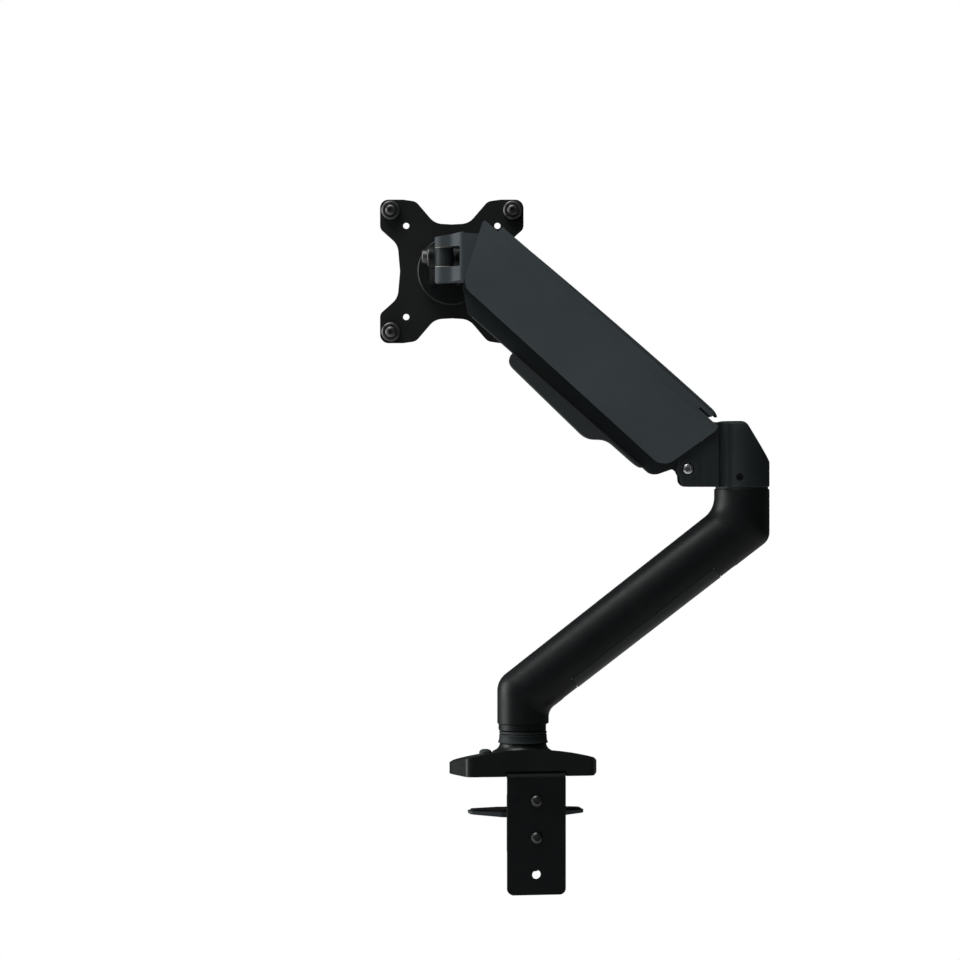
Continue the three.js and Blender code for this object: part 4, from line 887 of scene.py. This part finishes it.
def clamp_knob():
    low, high = grip_low.z, grip_high.z
    grip = low + 11
    rings = []
    for inset, z in ((1.2, low), (0.35, low + 0.4), (0, low + 1.3),
                     (0, grip - 1.6), (0.4, grip - 0.5), (1.4, grip)):
        ring = []
        for i in range(120):
            turn = 2 * math.pi * i / 120
            reach = 14.2 - inset + 1.4 * math.cos(5 * turn)
            ring.append((CLAMP_X + reach * math.cos(turn), CLAMP_Y + reach * math.sin(turn), z))
        rings.append(ring)
    hub = lathe([(0, low + 0.5), (7.9, low + 0.5), (8, high - 0.8), (7.4, high), (0, high)], "z",
                CLAMP_AXIS, 64)
    bore = cylinder(3.7, low + 2.5, high + 5, "z", CLAMP_AXIS)
    make("clamp_hand_knob", ROW, "screw", "dark", [loft(rings), hub], [bore], 0.25, ["clamp_knob"])


def desk_pad():
    low, high = node_box("desk_pad", ROW)
    pad = prism(base_plan(4), low.z, high.z, "z")
    slot = prism(rectangle(bracket_low.x - 0.3, bracket_high.x + 0.3, -60, LEG_BACK + 0.3), -1, 10, "z")
    make("desk_pad_foam", ROW, "base", "foam", [pad], [slot], 0.3, ["desk_pad"])


base_cover()
neck_parts()
back_bracket()
bracket_screws()
clamp_bracket()
clamp_jaw()
clamp_spindle()
clamp_knob()
desk_pad()

# --- elbow

KNUCKLE_BOTTOM = node_box("elbow_knuckle")[0].z
KNUCKLE_TOP = node_box("elbow_knuckle")[1].z
CHEEK_OUT = 19.9
CHEEK_IN = 15.6
BLOCK_LOW, BLOCK_HIGH = node_box("tension_block")
SET_SCREW = (171.6, 236.4)
STEP_X = 143.2
GROOVE = 3.6
PIVOT_BORE = 5.2
LINK_BORE = 3.4
LINK_SINK = 4.9
SINK_FLOOR = 17.4


def both_sides(outline, inner, outer):
    """The same wall on the near and on the far side."""
    return [prism(outline, -outer, -inner), prism(outline, inner, outer)]


def pivot_cuts(lift, link):
    """Bores through both cheeks, and the sinks for the heads of the link bolts."""
    spot = (link.x, link.z)
    bores = [cylinder(PIVOT_BORE, -WIDE, WIDE, "y", (lift.x, lift.z)),
             cylinder(LINK_BORE, -WIDE, WIDE, "y", spot)]
    ends = ((SINK_FLOOR, WIDE), (-WIDE, -SINK_FLOOR))
    return bores + [cylinder(LINK_SINK, low, high, "y", spot) for low, high in ends]


def elbow_knuckle():
    barrel = lathe([(0, KNUCKLE_BOTTOM), (HEAD_RADIUS - 0.6, KNUCKLE_BOTTOM),
                    (HEAD_RADIUS, KNUCKLE_BOTTOM + 0.6), (HEAD_RADIUS, KNUCKLE_TOP - 4),
                    (HEAD_RADIUS - 0.8, KNUCKLE_TOP - 1.9), (HEAD_RADIUS - 2.6, KNUCKLE_TOP - 0.6),
                    (HEAD_RADIUS - 6, KNUCKLE_TOP), (0, KNUCKLE_TOP)], "z", ELBOW_AXIS, 96)
    cheek = rounded([(125, KNUCKLE_BOTTOM, 6), (ELBOW.x, KNUCKLE_BOTTOM), (ELBOW.x, KNUCKLE_TOP - 3),
                     (146, KNUCKLE_TOP - 0.5, 6), (122.5, 262, 8)])
    flat = prism(rounded([(170, KNUCKLE_TOP + 0.05), (176.3, KNUCKLE_TOP + 0.05, 7), (198, 246.5),
                          (220, 300), (165, 306)]), -WIDE, WIDE)
    bore = cylinder(13, KNUCKLE_BOTTOM - 5, node_box("elbow_pin")[1].z + 2, "z", ELBOW_AXIS)
    room = 0.3
    pocket = prism([(140, BLOCK_LOW.z - room), (BLOCK_HIGH.x + room, BLOCK_LOW.z - room),
                    (BLOCK_HIGH.x + room, BLOCK_HIGH.z + room), (140, BLOCK_HIGH.z + room)],
                   BLOCK_LOW.y - room, BLOCK_HIGH.y + room)
    hole = cylinder(3, -WIDE, -8, "y", SET_SCREW)
    step = prism([(100, 200), (STEP_X, 200), (STEP_X, 300), (100, 300)], -CHEEK_OUT - 1, 0.35 - CHEEK_OUT)
    bosses = [cylinder(8.2, a, b, "y", LINK_AXIS)
              for a, b in ((CHEEK_IN, CHEEK_OUT), (-CHEEK_OUT, -CHEEK_IN))]
    grooves = [cylinder(GROOVE, KNUCKLE_BOTTOM - 1, KNUCKLE_TOP + 1, "z", (158.2, side * (CHEEK_OUT + 1.2)))
               for side in (-1, 1)]
    piece = mesh_object("elbow_knuckle_casting", barrel, ARMS)
    walls = both_sides(cheek, CHEEK_IN, CHEEK_OUT)
    boolean(piece, walls, ARMS, "UNION")
    boolean(piece, [step, *grooves], ARMS, "DIFFERENCE")
    boolean(piece, bosses, ARMS, "UNION")
    boolean(piece, [flat, bore, *pivot_cuts(A1, A2), pocket, hole], ARMS, "DIFFERENCE")
    finished(piece, "elbow", "knuckle_coat", 0.45, ["elbow_knuckle"])


def hex_bolt_head(name, place, at, face, side, radius, body, node, key=2.4):
    """Domed button head with a hexagon socket; side is -1 towards the camera."""
    head = lathe([(0, face), (radius, face), (radius, face + side * 1.3), (radius - 0.9, face + side * 2.2),
                  (radius * 0.45, face + side * 2.6), (0, face + side * 2.6)], "y", at, 48)
    socket = prism(hexagon(at, key), *sorted((face + side * 0.9, face + side * 6)))
    shank = cylinder(3.0, *sorted((face + side * 0.2, face - side * 9)), "y", at, 32)
    return make(name, place, body, "steel", [head, shank], [socket], 0.15, [node])


def elbow_hardware():
    for node, side in (("link_bolt_near", -1), ("link_bolt_far", 1)):
        low, high = node_box(node)
        tip = low.y if side < 0 else high.y
        hex_bolt_head(node + "_head", ARMS, LINK_AXIS, tip - side * 2.6, side, 4.5, "elbow", node)
    low, high = node_box("elbow_washer")
    rim = (high.x - low.x) / 2
    make("elbow_thrust_washer", ARMS, "lower", "dark",
         [lathe([(ELBOW_BORE, ARM_TOP + 0.03), (rim, ARM_TOP + 0.03), (rim, KNUCKLE_BOTTOM - 0.03),
                 (ELBOW_BORE, KNUCKLE_BOTTOM - 0.03)], "z", ELBOW_AXIS, 96)], (), 0, ["elbow_washer"])
    low, high = node_box("main_pivot_pin")
    make("main_pivot_axle", ARMS, "elbow", "pin_steel",
         [pin(4.7, low.y, high.y, "y", (A1.x, A1.z))], (), 0, ["main_pivot_pin"])


elbow_knuckle()
elbow_hardware()

# --- head

PAN_X = PAN.x
TILT_Y, TILT_Z = TILT_AXIS
PAN_BORE = 4.5
TILT_BORE = 4.3
HUB_BORE = 5.4
LUG_LOW = node_box("pan_washer_1")[0].z - 0.2
LUG_HIGH = node_box("pan_washer_2")[1].z + 0.2
FORK_BACK = -47.2
EAR_LEFT = node_box("tilt_washer")[1].x + 0.3
EAR_THICK = 3.6
EAR_RIGHT = node_box("tilt_nut")[0].x - 0.3 - EAR_THICK
EAR_RADIUS = 9.3
DISC_RADIUS = 28.0
DISC_BACK = 65.0
DISC_FRONT = 61.0
PLATE_BACK = node_box("vesa_plate")[1].y
PLATE_FRONT = PLATE_BACK - 3
PITCH = 100.0
SMALL_PITCH = 75.0


def head_fork():
    plan = rounded([(-70.5, -9, 7), (-57, -11, 6), (-50, -CHEEK_OUT, 4), (FORK_BACK, -CHEEK_OUT),
                    (FORK_BACK, CHEEK_OUT), (-50, CHEEK_OUT, 4), (-57, 11, 6), (-70.5, 9, 7)])
    side = rounded([(-71, 391.3, 2), (-40, 393.6), (-40, 432.5), (-71, 427.6, 2)])
    piece = mesh_object("head_fork_casting", prism(plan, 380, 440, "z"), ARMS)
    boolean(piece, [prism(side, -WIDE, WIDE)], ARMS, "INTERSECT")
    cheek = rounded([(FORK_BACK - 0.5, 393.2), (-44.2, 393.4), (-44.2, 385.6, 5.5), (-32, 385.6, 5.5),
                     (-18, 408, 8), (-18, 428.5, 9), (-44, 430, 3), (FORK_BACK - 0.5, 430.5)])
    boolean(piece, both_sides(cheek, CHEEK_IN, CHEEK_OUT), ARMS, "UNION")
    window = prism(rectangle(-80, -50.4, LUG_LOW, LUG_HIGH, 0.8), -WIDE, WIDE)
    bore = cylinder(PAN_BORE, 380, 450, "z", PAN_AXIS)
    boolean(piece, [window, bore, *pivot_cuts(B1, B2)], ARMS, "DIFFERENCE")
    finished(piece, "head", "head_coat", 0.5, ["head_fork"])


def tilt_block():
    barrel = cylinder(7.2, LUG_LOW + 0.8, LUG_HIGH - 0.8, "z", PAN_AXIS, 64)
    neck = prism(rectangle(PAN_X - 6.4, PAN_X + 6.4, 405.4, 419.2, 2), 1, TILT_Y - 2)
    boss = cylinder(9, EAR_LEFT + EAR_THICK + 0.4, EAR_RIGHT - 0.4, "x", TILT_AXIS, 64)
    bores = [cylinder(PAN_BORE, 380, 450, "z", PAN_AXIS), cylinder(TILT_BORE, -100, -20, "x", TILT_AXIS)]
    make("tilt_block_casting", ARMS, "pan", "knuckle_coat", [barrel, neck, boss], bores, 0.4,
         ["tilt_block"])
    low, high = node_box("pan_pin")
    make("pan_axle", ARMS, "head", "black_steel", [pin(4.2, low.z, high.z, "z", PAN_AXIS)], (), 0,
         ["pan_pin"])


def ear_outline():
    """Side of one ear in depth and height: a round end that widens to the disc."""
    arc = [(TILT_Y - EAR_RADIUS * math.sin(t), TILT_Z + EAR_RADIUS * math.cos(t))
           for t in [math.pi * k / 24 for k in range(25)]]
    return [(DISC_FRONT + 1, TILT_Z + 12), (TILT_Y + 14, TILT_Z + EAR_RADIUS), *arc,
            (TILT_Y + 10, TILT_Z - EAR_RADIUS), (DISC_FRONT + 1, TILT_Z - 22)]


def tilt_bracket():
    disc = lathe([(0, DISC_FRONT), (DISC_RADIUS - 0.8, DISC_FRONT), (DISC_RADIUS, DISC_FRONT + 0.8),
                  (DISC_RADIUS, DISC_BACK), (0, DISC_BACK)], "y", HUB_AXIS, 96)
    ears = [prism(ear_outline(), x, x + EAR_THICK, "x") for x in (EAR_LEFT, EAR_RIGHT)]
    bolt = cylinder(TILT_BORE, -100, -20, "x", TILT_AXIS)
    hub = cylinder(HUB_BORE, 40, 90, "y", HUB_AXIS)
    head_room = cylinder(9.2, 50, DISC_FRONT, "y", HUB_AXIS)
    make("tilt_bracket_casting", ARMS, "tilt", "coat", [disc, *ears], [bolt, hub, head_room], 0.4,
         ["tilt_bracket"])


def tilt_hardware():
    left = node_box("tilt_bolt")[0].x
    right = node_box("tilt_bolt")[1].x
    head = lathe([(0, left + 0.2), (3.6, left), (5.0, left + 0.4), (5.5, left + 1.0), (5.5, left + 4.4),
                  (4, left + 4.4), (4, right - 0.6), (3.4, right), (0, right)], "x", TILT_AXIS, 48)
    socket = prism(hexagon(TILT_AXIS, 2.5), left - 5, left + 2.6, "x")
    make("tilt_cap_screw", ARMS, "tilt", "satin_steel", [head], [socket], 0.15, ["tilt_bolt"])
    low, high = node_box("tilt_washer")
    make("tilt_plain_washer", ARMS, "tilt", "satin_steel",
         [lathe([(TILT_BORE, low.x), (7.3, low.x), (7.6, low.x + 0.3), (7.6, high.x), (TILT_BORE, high.x)],
                "x", TILT_AXIS, 64)], (), 0, ["tilt_washer"])


def plate_outline():
    """The X-shaped plate from one quarter, mirrored twice."""
    quarter = [(0, 38.6, 0), (14, 39.4, 14), (29.5, 57.5, 8), (40, 59, 4),
               (59, 59, 7), (59, 35, 6), (44.5, 22, 14), (42.6, 0, 0)]
    right = quarter + [(x, -y, r) for x, y, r in reversed(quarter[:-1])]
    left = [(-x, y, r) for x, y, r in reversed(right[1:-1])]
    return rounded([(x + HUB.x, z + HUB.z, r) for x, z, r in right + left])


def vesa_plate():
    plate = prism(plate_outline(), PLATE_FRONT, PLATE_BACK)
    face = PLATE_FRONT - 2.6
    back = PLATE_FRONT + 1
    boss = lathe([(0, face), (21.4, face), (22, face + 0.6), (22, back), (0, back)], "y", HUB_AXIS, 96)
    spots = [(sx * pitch / 2, sz * pitch / 2)
             for pitch in (PITCH, SMALL_PITCH) for sx in (-1, 1) for sz in (-1, 1)]
    holes = [cylinder(2.6, 60, 90, "y", (HUB.x + x, HUB.z + z)) for x, z in spots]
    hub = cylinder(HUB_BORE, 40, 90, "y", HUB_AXIS)
    make("vesa_plate_pressing", ARMS, "plate", "plate", [plate, boss], [*holes, hub], 0.5, ["vesa_plate"])


def thumb_screw(number):
    """Knurled thumb screw: a ridged rim, a dished face, a domed middle and a hexagon socket."""
    node = f"thumb_screw_{number}"
    low, high = node_box(node)
    x, z = (low.x + high.x) / 2, (low.z + high.z) / 2
    seat = PLATE_FRONT - 0.3
    face = low.y
    ridges = 30
    rows = []
    for radius, depth, knurl in ((7.3, seat, 0), (7.75, seat - 0.4, 0), (7.75, seat - 0.8, 0.3),
                                 (7.75, face + 3.6, 0.3), (7.6, face + 3.2, 0), (6.9, face + 2.6, 0),
                                 (5.7, face + 2.5, 0), (5.2, face + 3.2, 0), (4.7, face + 3.2, 0),
                                 (4.4, face + 1.2, 0), (3.6, face + 0.3, 0), (2.4, face, 0)):
        ring = []
        for i in range(ridges * 4):
            turn = 2 * math.pi * i / (ridges * 4)
            reach = radius - knurl * (0.5 - 0.5 * math.cos(ridges * turn))
            ring.append((x + reach * math.cos(turn), depth, z + reach * math.sin(turn)))
        rows.append(ring)
    piece = mesh_object(node + "_knurled", loft(rows), ARMS)
    boolean(piece, [cylinder(2.2, seat - 1, high.y, "y", (x, z), 32)], ARMS, "UNION")
    boolean(piece, [prism(hexagon((x, z), 2.2), face - 5, face + 3)], ARMS, "DIFFERENCE")
    finished(piece, "plate", "satin_steel", 0, [node])


head_fork()
tilt_block()
tilt_bracket()
tilt_hardware()
vesa_plate()
for number in (1, 2, 3, 4):
    thumb_screw(number)

# --- upper arm

TOP_EDGE = 20.9
COVER_OUT = 23.0
COVER_IN = 20.6
SEAM = 7.6
FORK_START = 15.0
ROOF_START = 3.0
ROOF_FLOOR = 17.5
FORK_END = ARM_LENGTH + 2
LINK_OUT = 11.0
LINK_IN = 8.0
LINK_FLOOR = node_box("lower_link", UPPER)[0].z


def cover_side(inset):
    """Side outline of the arm's covers: a slanted head end and a rounded elbow end."""
    return rounded([(-8.8 + inset, 20.4 - inset, 9), (245 - 1.5 * inset, TOP_EDGE - inset, 7),
                    (220 - inset, -35 + inset, 12), (5 + inset, -38.4 + inset, 13)])


def cover_section(side, inset, inner):
    """Outline across the cover in (Y, Z): a flat side with a bevelled top edge."""
    out = COVER_OUT - inset
    top = TOP_EDGE + 3 - inset
    points = [(inner, -60), (out, -60), (out, TOP_EDGE - 9.2 - inset), (out - 5.5, TOP_EDGE - 0.8 - inset)]
    points += [(out - 6.5, top), (inner, top)]
    return [(side * y, z) for y, z in points]


def side_cover(name, side, node):
    def span(a, b):
        return sorted((side * a, side * b))

    def shell(inset, inner):
        body = mesh_object("body", prism(cover_side(inset), *span(inner, COVER_OUT + 2)), UPPER)
        return boolean(body, [prism(cover_section(side, inset, inner), -30, 290, "x")], UPPER, "INTERSECT")

    piece = shell(0, SEAM)
    piece.name = name
    carve(piece, shell(2.3, -2), "DIFFERENCE")
    below = prism(rectangle(-20, 260, -60, 0), *span(0, COVER_IN))
    mouths = [prism(rectangle(x0, x1, -60, top), *span(0, COVER_IN))
              for x0, x1, top in ((-20, ROOF_START, WIDE), (-20, FORK_START, ROOF_FLOOR),
                                  (FORK_END, 260, WIDE))]
    boolean(piece, [below, *mouths], UPPER, "DIFFERENCE")
    finished(piece, "upper", "shell", 0.7, [node])


def top_spine():
    """Crowned strip between the two covers."""
    base = 16.0
    lip = node_box("top_spine", UPPER)[0].x
    outline = [Vector((ROOF_START, ROOF_FLOOR)), Vector((ROOF_START, 20.8)), Vector((lip, 20.8))]
    outline += bezier(outline[-1], (lip + 0.3, 22.6), (lip + 3, 23.7), (lip + 8, 24))
    outline += bezier(outline[-1], (60, 24.8), (150, 24.2), (FORK_END - 14, 21.8))
    outline += bezier(outline[-1], (FORK_END - 7, 21.4), (FORK_END - 4, 20), (FORK_END - 4, base))
    half = SEAM - 0.3
    rings = []
    for depth, drop in ((-half, 1.4), (-half + 0.5, 0.6), (-half * 0.6, 0.15), (0, 0), (half * 0.6, 0.15),
                        (half - 0.5, 0.6), (half, 1.4)):
        rings.append([(p.x, depth, p.y - drop if p.y > 22 else p.y) for p in outline])
    piece = mesh_object("top_spine_strip", loft(rings), UPPER)
    finished(piece, "upper", "shell", 0.2, ["top_spine"])


def lower_link():
    x, z = LINK.x, LINK.z
    far = x + ARM_LENGTH
    outline = rounded([(x - 7, z + 7, 6.5), (x - 7, z - 7.2, 6.5), (-2, z - 7.2, 3), (6.5, LINK_FLOOR, 9),
                       (far - 12, LINK_FLOOR, 5), (far + 7, z - 8, 6.5), (far + 7, z + 7, 6.5),
                       (far - 14, z + 7, 4), (far - 24, z - 2, 4), (x + 24, z - 2, 4), (x + 14, z + 7, 4)])
    web = prism(rectangle(x + 26, far - 16, LINK_FLOOR, LINK_FLOOR + 2.6), -LINK_OUT, LINK_OUT)
    pins = [cylinder(3.3, -30, 30, "y", (x, z)), cylinder(3.9, -30, 30, "y", (far, z))]
    walls = both_sides(outline, LINK_IN, LINK_OUT)
    make("parallel_link", UPPER, "link", "knuckle_coat", [*walls, web], pins, 0.4, ["lower_link"])


def cable_cover_outline(inset):
    top = LINK_FLOOR - 0.3 + 5 * inset
    floor = -60.8 + inset
    step = -50.6 + inset
    points = [(155 - inset, top), (155 - inset, -51 + inset)]
    points += bezier(points[-1], (154.5 - inset, floor + 5.5), (151, floor + 3.7),
                     (146 - inset, floor + 3.5))
    points.append((72, floor))
    points += bezier(points[-1], (58, floor), (60, step), (46, step), 20)
    points.append((26 + inset, step))
    points += bezier(points[-1], (21 + inset, step + 0.2), (17.5 + inset, step + 0.8), (17 + inset, top))
    return points


def arm_cable_cover():
    outer = prism(cable_cover_outline(0), -15, 15)
    inner = prism(cable_cover_outline(1.8), -13.2, 13.2)
    mouths = [prism(rectangle(10, 24, -70, -46), -9, 9), prism(rectangle(150, 160, -58, -40), -9, 9)]
    make("arm_cable_trough", UPPER, "link", "dark", [outer], [inner, *mouths], 1.2, ["arm_cable_cover"], 4)


side_cover("near_cover_shell", 1, "near_side_cover")
side_cover("far_cover_shell", -1, "far_side_cover")
top_spine()
lower_link()
arm_cable_cover()
